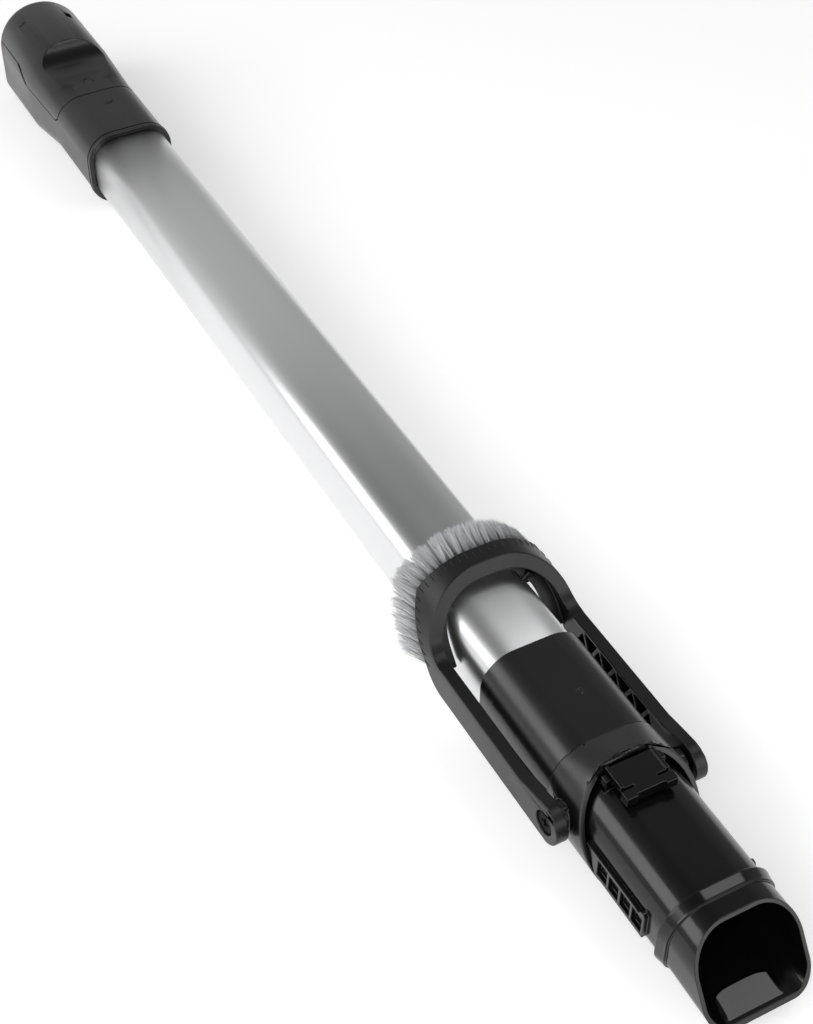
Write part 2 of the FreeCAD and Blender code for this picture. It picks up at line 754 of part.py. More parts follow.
def make_pivot_collar():
    """Collar that flares to the round shroud and carries the brush's two pivots."""
    part = new_body("pivot_collar")
    loft_end = f"({SEAM} + collar_loft)"
    radius = "(shroud_radius - section_flat)"
    round_section = oval("2 * shroud_radius", "2 * shroud_radius", radius)
    loft_span(part, SEAM, grown("tube", "sleeve_wall + collar_flare"), loft_end, round_section)
    pad_span(part, loft_end, f"({loft_end} + 2 * shroud_radius)", round_section)
    rim_low = f"({SEAM} + shroud_reach + shroud_slope * shroud_radius)"
    rim_high = f"({SEAM} + shroud_reach - shroud_slope * shroud_radius)"
    cut_side(part, WIDE, outline([
        (rim_low, "-shroud_radius"),
        (FAR, "-shroud_radius"),
        (FAR, "shroud_radius"),
        (rim_high, "shroud_radius"),
    ]))
    pad_side(part, "2 * (arm_inner - thrust_gap)", disc("thrust_radius", PIVOT, "pivot_height"))
    pad_side(part, f"2 * {HEAD_SEAT}", disc("pivot_radius", PIVOT, "pivot_height"))
    cut_side(part, f"2 * {HEAD_SEAT}", disc("shank_radius", PIVOT, "pivot_height"))
    cut_span(part, SEAM, f"({SEAM} + spigot_seat)", spigot_section("-spigot_wall"))
    cut_span(part, f"({SEAM} + spigot_seat)", FAR, spigot_section("seat_clearance"))
    cut_span(part, f"({SEAM} + shroud_floor)", FAR, disc("shroud_radius - shroud_wall"))
    flatten_underside(part)
    return part


def make_spigot():
    """Oval spigot with guide rails, a raised ring, ears for the tongue and a flared, slanted mouth."""
    part = new_body("spigot")
    root = f"({SEAM} + spigot_seat)"
    ring = "(-mouth_to_ring_length)"
    reach = "(2 * spigot_bottom)"
    mouth = spigot_section("spigot_flare")
    pad_span(part, root, ring, spigot_section())
    loft_span(part, ring, spigot_section(), MOUTH_TIP, mouth)
    pad_span(part, MOUTH_TIP, reach, mouth)
    pad_span(part, ring, f"({ring} + ring_length)", spigot_section("ring_rise"))
    add_rails(part)
    ear_top = "(hinge_height + ear_rise)"
    pad_side(part, f"2 * {EAR_OUTER}", box(f"{HINGE} - ear_length / 2", "0", f"{HINGE} + ear_length / 2", ear_top))
    cut_side(part, f"2 * {EAR_INNER}", box(f"{HINGE} - ear_length", "spigot_top", f"{HINGE} + ear_length", FAR))
    cut_side(part, f"4 * {EAR_OUTER}", disc("hinge_radius", HINGE, "hinge_height"))
    cut_span(part, root, ring, spigot_section("-spigot_wall"))
    cut_span(part, ring, reach, spigot_section("spigot_flare - spigot_wall"))
    edge = "(spigot_top + ring_rise)"
    cut_side(part, WIDE, outline([
        (f"mouth_slope * {edge}", f"-{edge}"),
        (f"-mouth_slope * {edge}", edge),
        (FAR, edge),
        (FAR, f"-{edge}"),
    ]))
    return part


def add_rails(part):
    """Adds the pocketed guide rails on the spigot's sides, cut off along the collar's slanted rim."""
    low = "(rail_top - rail_height)"
    front = f"({SEAM} + seam_to_rail_length)"
    rear = f"({SEAM} + shroud_reach + rail_gap - shroud_slope * {low})"
    rear_top = f"({SEAM} + shroud_reach + rail_gap - shroud_slope * rail_top)"
    pad_side(part, "2 * rail_half_width",
             outline([(rear, low), (front, low), (front, "rail_top"), (rear_top, "rail_top")]))
    pad_side(part, "2 * rail_half_width", disc("rail_knob_radius", f"{front} - rail_knob_radius", "rail_top"))
    bay = f"(({front} - {rear} - rail_rib) / rail_pockets)"
    for offset, reverse in (("rail_half_width", False), ("-rail_half_width", True)):
        drawing = new_sketch(part, "XZ_Plane", offset)
        for count in range(int(size("rail_pockets"))):
            start = f"({rear} + rail_rib + {count} * {bay})"
            draw_rectangle(drawing, start, f"{low} + rail_flange", f"{start} + {bay} - rail_rib",
                           "rail_top - rail_flange")
        add_feature(part, "Pocket", drawing, "rail_pocket_depth", reverse=reverse)


def arch(grow):
    """Section of the yoke's arch, open below: flat legs, round corners and a flat crown, grown outwards."""
    half = f"(arm_inner + {grow})"
    corner = f"(bow_corner + {grow})"
    crown = f"(bow_top + {grow})"
    in_w = f"({half} - {corner})"
    in_h = f"({crown} - {corner})"
    return half, corner, crown, in_w, in_h


def arch_ring(inner_grow, outer_grow, foot):
    """Closed outline between two arches, with both legs cut off at one height."""
    half, corner, crown, in_w, in_h = arch(outer_grow)
    half_in, corner_in, crown_in, in_w_in, in_h_in = arch(inner_grow)
    return [
        (half, foot),
        (half, in_h),
        (in_w, crown, in_w, in_h),
        (f"-{in_w}", crown),
        (f"-{half}", in_h, f"-{in_w}", in_h),
        (f"-{half}", foot),
        (f"-{half_in}", foot),
        (f"-{half_in}", in_h_in),
        (f"-{in_w_in}", crown_in, f"-{in_w_in}", in_h_in),
        (in_w_in, crown_in),
        (half_in, in_h_in, in_w_in, in_h_in),
        (half_in, foot),
    ]


def rear_band(depth):
    """Side outline of a band along the bow's rear edge, as deep as given towards the mouth."""
    top = f"({CROWN} + arm_thickness)"
    return [
        (BOW_REAR, top),
        (BOW_REAR, REAR_KNEE_HEIGHT),
        (REAR_LOW, REAR_LOW_HEIGHT),
        (f"{REAR_LOW} + {depth}", REAR_LOW_HEIGHT),
        (f"{BOW_REAR} + {depth}", REAR_KNEE_HEIGHT),
        (f"{BOW_REAR} + {depth}", top),
    ]


def make_brush_yoke():
    """U-shaped yoke: two hollow ribbed arms, and a bow that arches over the tube and carries the tufts."""
    part = new_body("brush_yoke")
    nose = f"({PIVOT} + arm_end_radius)"
    pad_span(part, BOW_REAR, f"({REAR_LOW} + flange_depth)",
             outline(arch_ring("-flange_rise", "arm_skin", REAR_LOW_HEIGHT)))
    keep_side(part, rear_band("flange_depth"))
    pad_span(part, BOW_REAR, nose, outline(arch_ring("0", "arm_thickness", ARM_FOOT)))
    slant = "sqrt(1 + bow_lean^2)"
    fillet_z = f"({ARM_TOP} + bow_fillet)"
    fillet_x = f"({BOW_FRONT} + bow_lean * ({CROWN} - {fillet_z}) + bow_fillet * {slant})"
    keep_side(part, [
        (BEND, ARM_FOOT, BEND, BEND_HEIGHT),
        (PIVOT, "pivot_height - arm_end_radius"),
        (nose, "pivot_height", PIVOT, "pivot_height"),
        (PIVOT, "pivot_height + arm_end_radius", PIVOT, "pivot_height"),
        (f"{PIVOT} - 2 * arm_end_radius", ARM_TOP),
        (fillet_x, ARM_TOP),
        (f"{fillet_x} - bow_fillet / {slant}", f"{fillet_z} - bow_fillet * bow_lean / {slant}", fillet_x, fillet_z),
        (f"{BOW_FRONT} - bow_lean * arm_thickness", f"{CROWN} + arm_thickness"),
        (BOW_REAR, f"{CROWN} + arm_thickness"),
        (BOW_REAR, REAR_KNEE_HEIGHT),
        (REAR_LOW, REAR_LOW_HEIGHT),
    ])
    add_hooks(part)
    cut_lattice(part)
    cut_side(part, "2 * arm_inner", disc("arm_end_radius + arm_skin", PIVOT, "pivot_height"))
    cut_side(part, WIDE, disc("pivot_radius + pivot_clearance", PIVOT, "pivot_height"))
    for offset, reverse in ((RECESS_FLOOR, True), (f"-{RECESS_FLOOR}", False)):
        drawing = new_sketch(part, "XZ_Plane", offset)
        draw_circle(drawing, "recess_radius", PIVOT, "pivot_height")
        add_feature(part, "Pocket", drawing, "2 * recess_depth", reverse=reverse)
    return part


def add_hooks(part):
    """Adds the two snap hooks in front of the bow's flange that grip the tube's top corners."""
    drawing = new_sketch(part, "YZ_Plane", f"({BOW_REAR} + flange_depth / 2)")
    near = "(tube_corner + hook_gap)"
    far = f"({near} + hook_rise)"
    start_u = "(tube_width / 2 - tube_corner)"
    start_v = "(tube_height / 2 - tube_corner)"
    slant = "sqrt(0.5)"
    for side in ("-", ""):
        corners = []
        for reach, sign, flip in ((near, "-", "+"), (far, "-", "+"), (far, "+", "-"), (near, "+", "-")):
            u = f"({start_u} + ({reach} {sign} hook_width / 2) * {slant})"
            v = f"({start_v} + ({reach} {flip} hook_width / 2) * {slant})"
            corners.append((f"{side}{u}", v))
        trace(drawing, corners)
    add_feature(part, "Pad", drawing, "hook_depth + flange_depth / 2")


def cut_lattice(part):
    """Hollows both arms from the inside, leaving an outer skin and a zigzag of ribs."""
    drawing = new_sketch(part, "XZ_Plane")
    front = f"({PIVOT} - lattice_margin - arm_end_radius / 2)"
    low = f"({ARM_FOOT} + 2 * lattice_rib)"
    high = f"({ARM_TOP} - lattice_rib)"
    bays = int(size("lattice_bays"))
    bay = f"(({front} - {BEND}) / lattice_bays)"
    for count in range(bays):
        start = f"({BEND} + {count} * {bay})"
        trace(drawing, [
            (f"{start} + lattice_rib", low),
            (f"{start} + {bay} - lattice_rib", low),
            (f"{start} + {bay} / 2", f"{high} - lattice_rib"),
        ])
    for count in range(bays - 1):
        start = f"({BEND} + {bay} / 2 + {count} * {bay})"
        trace(drawing, [
            (f"{start} + {bay} - lattice_rib", high),
            (f"{start} + lattice_rib", high),
            (f"{start} + {bay} / 2", f"{low} + lattice_rib"),
        ])
    add_feature(part, "Pocket", drawing, f"2 * ({ARM_OUTER} - arm_skin)", symmetric=True)


def rear_station(height):
    """Station of the bow's rear edge at a height: slanted up to the knee, then upright."""
    rise = min(height, size(REAR_KNEE_HEIGHT)) - size(REAR_LOW_HEIGHT)
    return size(REAR_LOW) - rise * size("bow_rear_lean")


def make_tuft(root, lean):
    """One tuft: a six-sided bundle that widens from its root along a lean."""
    turn = FreeCAD.Placement(root, FreeCAD.Rotation(FreeCAD.Vector(0, 0, 1), lean))
    rings = []
    for radius, run in ((size("tuft_root_radius"), 0), (size("tuft_tip_radius"), lean.Length)):
        corners = [FreeCAD.Vector(radius * math.cos(step * math.pi / 3), radius * math.sin(step * math.pi / 3), run)
                   for step in range(7)]
        rings.append(Part.makePolygon([turn.multVec(corner) for corner in corners]))
    return Part.makeLoft(rings, True, True)


def make_bristles():
    """Tufts set along the bow's rear edge on a strip, each leaning back and outwards."""
    grow = size("arm_thickness / 2")
    middle = size("arm_inner") + grow
    corner = size("bow_corner") + grow
    in_w = middle - corner
    in_h = size("bow_top") + grow - corner
    foot = size(REAR_LOW_HEIGHT) + size("tuft_tip_radius")
    leg = in_h - foot
    turn = corner * math.pi / 2
    total = 2 * (leg + turn) + 2 * in_w
    count = int(total // size("tuft_pitch"))

    def spot(run):
        """Point of the bow's middle line and the outward direction there."""
        if run > total / 2:
            point, out = spot(total - run)
            return FreeCAD.Vector(0, -point.y, point.z), FreeCAD.Vector(0, -out.y, out.z)
        if run < leg:
            return FreeCAD.Vector(0, middle, foot + run), FreeCAD.Vector(0, 1, 0)
        angle = min((run - leg) / corner, math.pi / 2)
        out = FreeCAD.Vector(0, math.cos(angle), math.sin(angle))
        slide = max(run - leg - turn, 0)
        return FreeCAD.Vector(0, in_w - slide, in_h) + out * corner, out

    pieces = []
    for index in range(count + 1):
        point, out = spot(total * index / count)
        root = FreeCAD.Vector(rear_station(point.z) - size("strip_depth"), point.y, point.z)
        lean = FreeCAD.Vector(-size("tuft_reach"), 0, 0) + out * size("tuft_flare")
        pieces.append(make_tuft(root, lean))
    part = doc.addObject("Part::Feature", "bristles")
    part.Label = "bristles"
    part.Shape = doc.getObject("bristle_strip").Shape.multiFuse(pieces).removeSplitter()
    seat(part)
    return part


def make_bristle_strip():
    """Thin strip that the tufts stand on, along the bow's rear edge."""
    part = doc.addObject("PartDesign::Body", "bristle_strip")
    edge = "(arm_thickness / 2 - strip_width / 2)"
    far_edge = "(arm_thickness / 2 + strip_width / 2)"
    pad_span(part, f"({BOW_REAR} - strip_depth)", REAR_LOW,
             outline(arch_ring(edge, far_edge, REAR_LOW_HEIGHT)))
    keep_side(part, rear_band("(-strip_depth)"))
    doc.recompute()
    return part


def make_pivot_screw(label, side):
    """Screw that holds one arm on its pivot, with a cross recess in its head."""
    turn = AGAINST_Y if side == "-" else ALONG_Y
    head = make_cylinder(f"{label}_head", "head_radius", "head_height")
    shank = make_cylinder(f"{label}_shank", "shank_radius", "shank_length")
    bind(shank, "Placement.Base.z", "-shank_length")
    blank = doc.addObject("Part::Fuse", f"{label}_blank")
    blank.Base = head
    blank.Tool = shank
    for name, length, width in (("long", "head_radius", "head_slot"), ("wide", "head_slot", "head_radius")):
        slot = doc.addObject("Part::Box", f"{label}_{name}")
        bind(slot, "Length", length)
        bind(slot, "Width", width)
        bind(slot, "Height", "head_height")
        bind(slot, "Placement.Base.x", f"-{length} / 2")
        bind(slot, "Placement.Base.y", f"-{width} / 2")
        bind(slot, "Placement.Base.z", "head_height / 2")
        cut = doc.addObject("Part::Cut", f"{label}_{name}_cut")
        cut.Base = blank
        cut.Tool = slot
        blank = cut
    blank.Label = label
    blank.Placement = FreeCAD.Placement(FreeCAD.Vector(), turn)
    seat(blank, PIVOT, f"{side}{HEAD_SEAT}", "pivot_height")
    return blank


def make_latch_tongue():
    """Tongue with a hinge barrel, raised side rails, two slits and two knuckles on its front bar."""
    part = new_body("latch_tongue")
    rear = f"({HINGE} - tongue_rear)"
    front = f"({HINGE} + tongue_front)"
    top = "(tongue_under + tongue_thickness)"
    pad_side(part, "2 * tongue_half", box(rear, "tongue_under", front, top))
    pad_side(part, "2 * barrel_half", disc("barrel_radius", HINGE, "hinge_height"))
    pad_side(part, "2 * barrel_half", box(f"{HINGE} - barrel_radius", "hinge_height",
                                          f"{HINGE} + barrel_radius", "tongue_under"))
    pad_side(part, "2 * tongue_half", box(rear, top, f"{front} - tongue_bar - tongue_slit", f"{top} + tongue_rail"))
    cut_side(part, "2 * (tongue_half - tongue_rail_width)",
             box(rear, top, f"{front} - tongue_bar - tongue_slit", f"{top} + tongue_rail"))
    bar_low = "(tongue_under - tongue_bar_drop)"
    pad_side(part, "2 * tongue_half", box(f"{front} - tongue_bar", bar_low, front, top))
    knuckles = new_sketch(part, "YZ_Plane", f"({front} - tongue_bar)")
    for side in ("-", ""):
        low = f"{side}(knuckle_offset - knuckle_length / 2)"
        high = f"{side}(knuckle_offset + knuckle_length / 2)"
        draw_rectangle(knuckles, low, f"{top} - 2 * knuckle_radius", high, top)
    add_feature(part, "Pad", knuckles, "tongue_bar + knuckle_radius / 2")
    slits = new_sketch(part, "XY_Plane", "tongue_under")
    for side in ("-", ""):
        inner = f"{side}(tongue_half - tongue_slit_length)"
        draw_rectangle(slits, f"{front} - tongue_bar - tongue_slit", inner, f"{front} - tongue_bar",
                       f"{side}(tongue_half + tongue_slit)")
    add_feature(part, "Pocket", slits, "tongue_thickness + tongue_rail", reverse=True)
    cut_side(part, "4 * barrel_half", disc("hinge_radius + hinge_clearance", HINGE, "hinge_height"))
    return part


def make_latch_spring():
    """Coil between the spigot's top and the tongue."""
    length = "(tongue_under - spigot_top)"
    coil = make_coil("latch_spring", "latch_spring_radius", "latch_wire_radius", length,
                     "latch_spring_turns", FreeCAD.Rotation())
    seat(coil, f"{SEAM} + seam_to_spring_length", "0", "spigot_top + latch_wire_radius")
    return coil


make_bristle_strip()
PARTS = [
    make_outer_tube(),
    make_housing_body(),
    make_release_slider(),
    make_guide_bush(),
    make_tube_seal(),
    make_brake_shoe(),
    make_cross_pin("brake_peg", "peg_radius", "peg_half_length", CAM, "cam_height"),
    make_slider_spring(),
    make_inner_tube(),
    make_inner_glide(),
    make_handle_socket(),
    make_lower_sleeve(),
    make_pivot_collar(),
    make_spigot(),
    make_brush_yoke(),
    make_bristles(),
    make_pivot_screw("pivot_screw_left", "-"),
    make_pivot_screw("pivot_screw_right", ""),
    make_latch_tongue(),
    make_cross_pin("latch_pin", "hinge_radius", EAR_OUTER, HINGE, "hinge_height"),
    make_latch_spring(),
]
doc.recompute()

for item in doc.Objects:
    faults = [word for word in item.State if word in ("Invalid", "Error")]
    if faults:
        raise RuntimeError(f"{item.Label} failed: {faults}")
for item in PARTS:
    if item.Shape.isNull() or not item.Shape.isValid() or not item.Shape.Solids:
        raise RuntimeError(f"{item.Label} has no valid solid")

os.makedirs("parts", exist_ok=True)
for item in PARTS:
    item.Shape.exportStep(f"parts/{item.Label}.step")
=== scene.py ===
"""Looks for the vacuum wand: finishes, softened mouldings, bristle tufts, marks, studio and camera.

Sizes are in millimetres and angles in degrees. Places are measured from the middle of the mouth on the tube's
axis: stations run along the wand towards the mouth, y across it and heights up from the axis. Left and right
are as seen from in front of the mouth, so right is towards +y. The studio is in metres, in the frame itself.
"""

import logging
import math
from dataclasses import dataclass, replace
from enum import Enum

import bmesh
import bpy
import numpy as np
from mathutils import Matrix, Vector

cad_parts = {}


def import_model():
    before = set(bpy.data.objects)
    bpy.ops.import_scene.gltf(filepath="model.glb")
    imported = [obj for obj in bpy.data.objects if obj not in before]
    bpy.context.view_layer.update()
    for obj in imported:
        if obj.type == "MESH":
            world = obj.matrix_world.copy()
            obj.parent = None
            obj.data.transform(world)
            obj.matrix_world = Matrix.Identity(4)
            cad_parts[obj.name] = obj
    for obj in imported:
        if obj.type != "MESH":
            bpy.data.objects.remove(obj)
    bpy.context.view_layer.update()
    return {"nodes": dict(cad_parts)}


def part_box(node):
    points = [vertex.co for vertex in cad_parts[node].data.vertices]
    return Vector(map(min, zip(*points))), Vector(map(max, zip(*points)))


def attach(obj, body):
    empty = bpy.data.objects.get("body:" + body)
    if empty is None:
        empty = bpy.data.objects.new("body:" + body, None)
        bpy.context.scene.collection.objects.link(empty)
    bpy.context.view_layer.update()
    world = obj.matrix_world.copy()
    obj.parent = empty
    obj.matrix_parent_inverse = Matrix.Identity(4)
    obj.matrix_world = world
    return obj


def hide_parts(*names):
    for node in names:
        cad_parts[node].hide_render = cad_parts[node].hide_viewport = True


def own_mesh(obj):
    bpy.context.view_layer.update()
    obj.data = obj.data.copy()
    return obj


LOG = logging.getLogger("wand")
MM = 0.001
# Where the middle of the mouth lies in the frame.
MOUTH_STATION = 326.72
AXIS_HEIGHT = 23.0
MOUTH = np.array([MOUTH_STATION, 0.0, AXIS_HEIGHT])
# The name of the fibres' painted shade on their mesh: darker at their roots and at their tufts' edges.
PAINTED_SHADE = "painted_shade"
# How near the corners of a CAD node's loose triangles lie to be one point.
MERGE_DISTANCE = 0.002
# Points across a raised line, and how far its edges lie under the face that carries it.
STROKE_STEPS = 7
STROKE_SINK = 0.03
Colour = tuple[float, float, float, float]
Point = tuple[float, float, float]
Span = tuple[float, float]


class Body(Enum):
    """The moving bodies that new pieces ride on."""

    WAND = "wand"
    SLIDER = "slider"
    BRUSH = "brush"
    LATCH = "latch"


class Slot(Enum):
    """Names of material slots given with new pieces; their finishes come from the Finish that they are built
    with.
    """

    SATIN = "satin_black"
    GLOSS = "gloss_black"
    TUBE = "anodised"
    BRISTLE = "bristle"
    STEEL = "steel"


class Axis(Enum):
    """The frame's axes that a spring can lie along."""

    X = 0
    Z = 2


class Facing(Enum):
    """The end of the wand that a mark's legs point to."""

    MOUTH = 1.0
    HANDLE = -1.0


def grey(value: float) -> Colour:
    """A neutral colour of one linear brightness."""
    return (value, value, value, 1.0)


def math_node(tree: bpy.types.NodeTree, operation: str, *sources: bpy.types.NodeSocket) -> bpy.types.Node:
    """Adds a Math node.

    Args:
        tree: The node tree that it goes in.
        operation: What it does with its inputs.
        sources: The sockets that feed its inputs, in order.

    Returns:
        The node.
    """
    node = tree.nodes.new("ShaderNodeMath")
    node.operation = operation
    for socket, source in zip(node.inputs, sources):
        tree.links.new(source, socket)
    return node


def carried(tree: bpy.types.NodeTree, source: bpy.types.NodeSocket, old: Span,
            new: Span) -> bpy.types.NodeSocket:
    """Carries one span of values over to another, held at both ends.

    Args:
        tree: The node tree.
        source: The socket that gives the values.
        old: The first and last value that come in.
        new: What those two become.

    Returns:
        The socket that gives the new values.
    """
    node = tree.nodes.new("ShaderNodeMapRange")
    for name, value in zip(("From Min", "From Max", "To Min", "To Max"), old + new):
        node.inputs[name].default_value = value
    tree.links.new(source, node.inputs["Value"])
    return node.outputs["Result"]


class GrainGroup:
    """Shader group for fine moulded or blasted grain, with broad smudges over it."""

    NAME = "surface_grain"
    INPUTS = (("Grain Scale", 2500.0), ("Smudge Scale", 30.0), ("Stretch", 1.0))
    OUTPUTS = ("Height", "Smudge")
    FINE_DETAIL = 2.0
    BROAD_DETAIL = 4.0

    @classmethod
    def tree(cls) -> bpy.types.NodeTree:
        """Builds the group once.

        Returns:
            The node tree: fine noise gives Height, broad noise gives Smudge, both from Object coordinates,
            which Stretch shortens along the wand to draw the grain out into lines.
        """
        found = bpy.data.node_groups.get(cls.NAME)
        if found:
            return found
        tree = bpy.data.node_groups.new(cls.NAME, "ShaderNodeTree")
        face = tree.interface
        for name, default in cls.INPUTS:
            socket = face.new_socket(name, in_out="INPUT", socket_type="NodeSocketFloat")
            socket.default_value = default
        for name in cls.OUTPUTS:
            face.new_socket(name, in_out="OUTPUT", socket_type="NodeSocketFloat")
        nodes = tree.nodes
        links = tree.links
        enter = nodes.new("NodeGroupInput")
        leave = nodes.new("NodeGroupOutput")
        place = nodes.new("ShaderNodeTexCoord")
        axes = nodes.new("ShaderNodeCombineXYZ")
        axes.inputs["Y"].default_value = 1.0
        axes.inputs["Z"].default_value = 1.0
        drawn = nodes.new("ShaderNodeVectorMath")
        drawn.operation = "MULTIPLY"
        links.new(enter.outputs["Stretch"], axes.inputs["X"])
        links.new(place.outputs["Object"], drawn.inputs[0])
        links.new(axes.outputs["Vector"], drawn.inputs[1])
        noises = (("Grain Scale", cls.FINE_DETAIL, "Height"), ("Smudge Scale", cls.BROAD_DETAIL, "Smudge"))
        for scale, detail, output in noises:
            noise = nodes.new("ShaderNodeTexNoise")
            noise.inputs["Detail"].default_value = detail
            links.new(drawn.outputs["Vector"], noise.inputs["Vector"])
            links.new(enter.outputs[scale], noise.inputs["Scale"])
            links.new(noise.outputs["Fac"], leave.inputs[output])
        return tree


@dataclass(frozen=True)
class Finish:
    """A finish: colour, gloss, grain and how much colour and gloss vary over the surface.

    Spread is how far the roughness drifts and tint the share by which the colour does. Smudges is the span of
    the broad noise that the roughness follows. A finish with painted shade is darkened by its piece's
    painted shade attribute.
    """

    name: str
    colour: Colour
    roughness: float
    metallic: float = 0.0
    grain: float = 2500.0
    bump: float = 0.02
    bump_depth: float = 0.0005
    smudges: Span = (0.3, 0.7)
    spread: float = 0.05
    tint: float = 0.15
    stretch: float = 1.0
    specular: float = 0.5
    has_painted_shade: bool = False

    def tinted(self, share: float) -> Colour:
        """The colour made brighter by a share, or darker where the share is negative."""
        return tuple(part * (1.0 + share) for part in self.colour[:3]) + (1.0,)

    def material(self) -> bpy.types.Material:
        """Builds the finish's material once.

        Returns:
            A material whose colour and roughness drift with broad smudges over a fine bump.
        """
        found = bpy.data.materials.get(self.name)
        if found:
            return found
        made = bpy.data.materials.new(self.name)
        made.use_nodes = True
        tree = made.node_tree
        nodes = tree.nodes
        links = tree.links
        shader = nodes["Principled BSDF"]
        shader.inputs["Metallic"].default_value = self.metallic
        shader.inputs["Specular IOR Level"].default_value = self.specular
        grain = nodes.new("ShaderNodeGroup")
        grain.node_tree = GrainGroup.tree()
        grain.inputs["Grain Scale"].default_value = self.grain
        grain.inputs["Stretch"].default_value = self.stretch
        smudge = grain.outputs["Smudge"]
        limits = (self.roughness - self.spread, self.roughness + self.spread)
        links.new(carried(tree, smudge, self.smudges, limits), shader.inputs["Roughness"])
        drift = nodes.new("ShaderNodeMix")
        drift.data_type = "RGBA"
        drift.inputs["A"].default_value = self.tinted(-self.tint)
        drift.inputs["B"].default_value = self.tinted(self.tint)
        links.new(smudge, drift.inputs["Factor"])
        colour = drift.outputs["Result"]
        # Painted shade: the colour is darkened by the piece's painted shade attribute.
        if self.has_painted_shade:
            painted_shade_node = nodes.new("ShaderNodeAttribute")
            painted_shade_node.attribute_name = PAINTED_SHADE
            darken = nodes.new("ShaderNodeVectorMath")
            darken.operation = "MULTIPLY"
            links.new(colour, darken.inputs[0])
            links.new(painted_shade_node.outputs["Fac"], darken.inputs[1])
            colour = darken.outputs["Vector"]
        links.new(colour, shader.inputs["Base Color"])
        bump = nodes.new("ShaderNodeBump")
        bump.inputs["Strength"].default_value = self.bump
        bump.inputs["Distance"].default_value = self.bump_depth
        links.new(grain.outputs["Height"], bump.inputs["Height"])
        links.new(bump.outputs["Normal"], shader.inputs["Normal"])
        return made


SATIN_BLACK = Finish("satin_black_plastic", grey(0.004), 0.30, grain=1800.0, bump=0.06, specular=0.55)
ARM_BLACK = Finish("arm_black_plastic", grey(0.004), 0.36, grain=1800.0, bump=0.06, specular=0.42)
GLOSS_BLACK = Finish("gloss_black_plastic", grey(0.003), 0.16, grain=900.0, bump=0.012, spread=0.03,
                     specular=0.45)
ANODISED = Finish("anodised_tube", (0.77, 0.775, 0.78, 1.0), 0.35, metallic=1.0, grain=3000.0, bump=0.03,
                  spread=0.03, tint=0.02, stretch=0.02)
INNER_METAL = Finish("inner_tube_metal", (0.70, 0.705, 0.71, 1.0), 0.34, metallic=1.0, grain=3000.0,
                     bump=0.04, tint=0.03, stretch=0.02)
PALE_PLASTIC = Finish("pale_guide_plastic", (0.55, 0.55, 0.53, 1.0), 0.5)
# The fibres' colour takes painted shade, darker at their roots and at their tufts' edges.
BRISTLE = Finish("bristle_fibre", (0.74, 0.75, 0.77, 1.0), 0.45, grain=300.0, tint=0.22, has_painted_shade=True)
STEEL = Finish("spring_steel", (0.45, 0.45, 0.46, 1.0), 0.3, metallic=1.0)
# Partly the screws' own black and partly painted shade: near black with little gloss, so that the deep screw
# recesses read as shaded holes.
BLACK_AND_SHADED_SCREW = Finish("screw_black_and_painted_shade", grey(0.002), 0.6, specular=0.1)
RUBBER = Finish("seal_rubber", grey(0.02), 0.7)

NODE_FINISHES = {
    "inner_tube": INNER_METAL,
    "handle_socket": SATIN_BLACK,
    "inner_glide": PALE_PLASTIC,
    "guide_bush": PALE_PLASTIC,
    "brake_shoe": PALE_PLASTIC,
    "pivot_screw_left": BLACK_AND_SHADED_SCREW,
    "pivot_screw_right": BLACK_AND_SHADED_SCREW,
    "latch_pin": STEEL,
    "brake_peg": STEEL,
    "tube_seal": RUBBER,
}


def dress(thing: bpy.types.Object, finish: Finish) -> None:
    """Gives an object one finish all over."""
    thing.data.materials.clear()
    thing.data.materials.append(finish.material())


def settle(thing: bpy.types.Object, finish: Finish, body: Body, slot: Slot, *nodes: str) -> None:
    """Links a new piece, dresses it, hangs it on its body and hides the CAD nodes that it stands for.

    Args:
        thing: The new object, with its mesh in place.
        finish: What it is made of.
        body: The body that carries it.
        slot: The slot of its finish. It is not used.
        nodes: The CAD nodes that it stands for, if any.
    """
    bpy.context.scene.collection.objects.link(thing)
    dress(thing, finish)
    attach(thing, body.value)
    if nodes:
        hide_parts(*nodes)


def merged_copy(source: bpy.types.Object, name: str, flat_angle: float = 0.0) -> bpy.types.Mesh:
    """A smooth copy of a CAD node's mesh, with its loose triangles joined up.

    Args:
        source: The CAD node's object, which stays as it is.
        name: The copy's name.
        flat_angle: Faces that meet at less than this become one. At 0 all of them stay.

    Returns:
        The copy.
    """
    mesh = source.data.copy()
    mesh.name = name
    shape = bmesh.new()
    shape.from_mesh(mesh)
    bmesh.ops.remove_doubles(shape, verts=shape.verts, dist=MERGE_DISTANCE * MM)
    if flat_angle:
        limit = math.radians(flat_angle)
        bmesh.ops.dissolve_limit(shape, angle_limit=limit, verts=shape.verts, edges=shape.edges)
    shape.to_mesh(mesh)
    shape.free()
    if "custom_normal" in mesh.attributes:
        mesh.attributes.remove(mesh.attributes["custom_normal"])
    mesh.polygons.foreach_set("use_smooth", np.ones(len(mesh.polygons), dtype=bool))
    return mesh


def grid_faces(rows: int, columns: int, wrap_rows: bool, wrap_columns: bool) -> np.ndarray:
    """Corner numbers of the four-sided faces of a grid.

    Args:
        rows: Points along the first direction.
        columns: Points along the second direction.
        wrap_rows: Whether the last row joins the first.
        wrap_columns: Whether the last column joins the first.

    Returns:
        One line of four point numbers for each face.
    """
    across = np.arange(rows if wrap_rows else rows - 1)[:, None]
    along = np.arange(columns if wrap_columns else columns - 1)[None, :]
    next_row = (across + 1) % rows
    next_column = (along + 1) % columns
    numbers = (across * columns + along, across * columns + next_column,
               next_row * columns + next_column, next_row * columns + along)
    return np.stack(np.broadcast_arrays(*numbers), axis=-1).reshape(-1, 4)


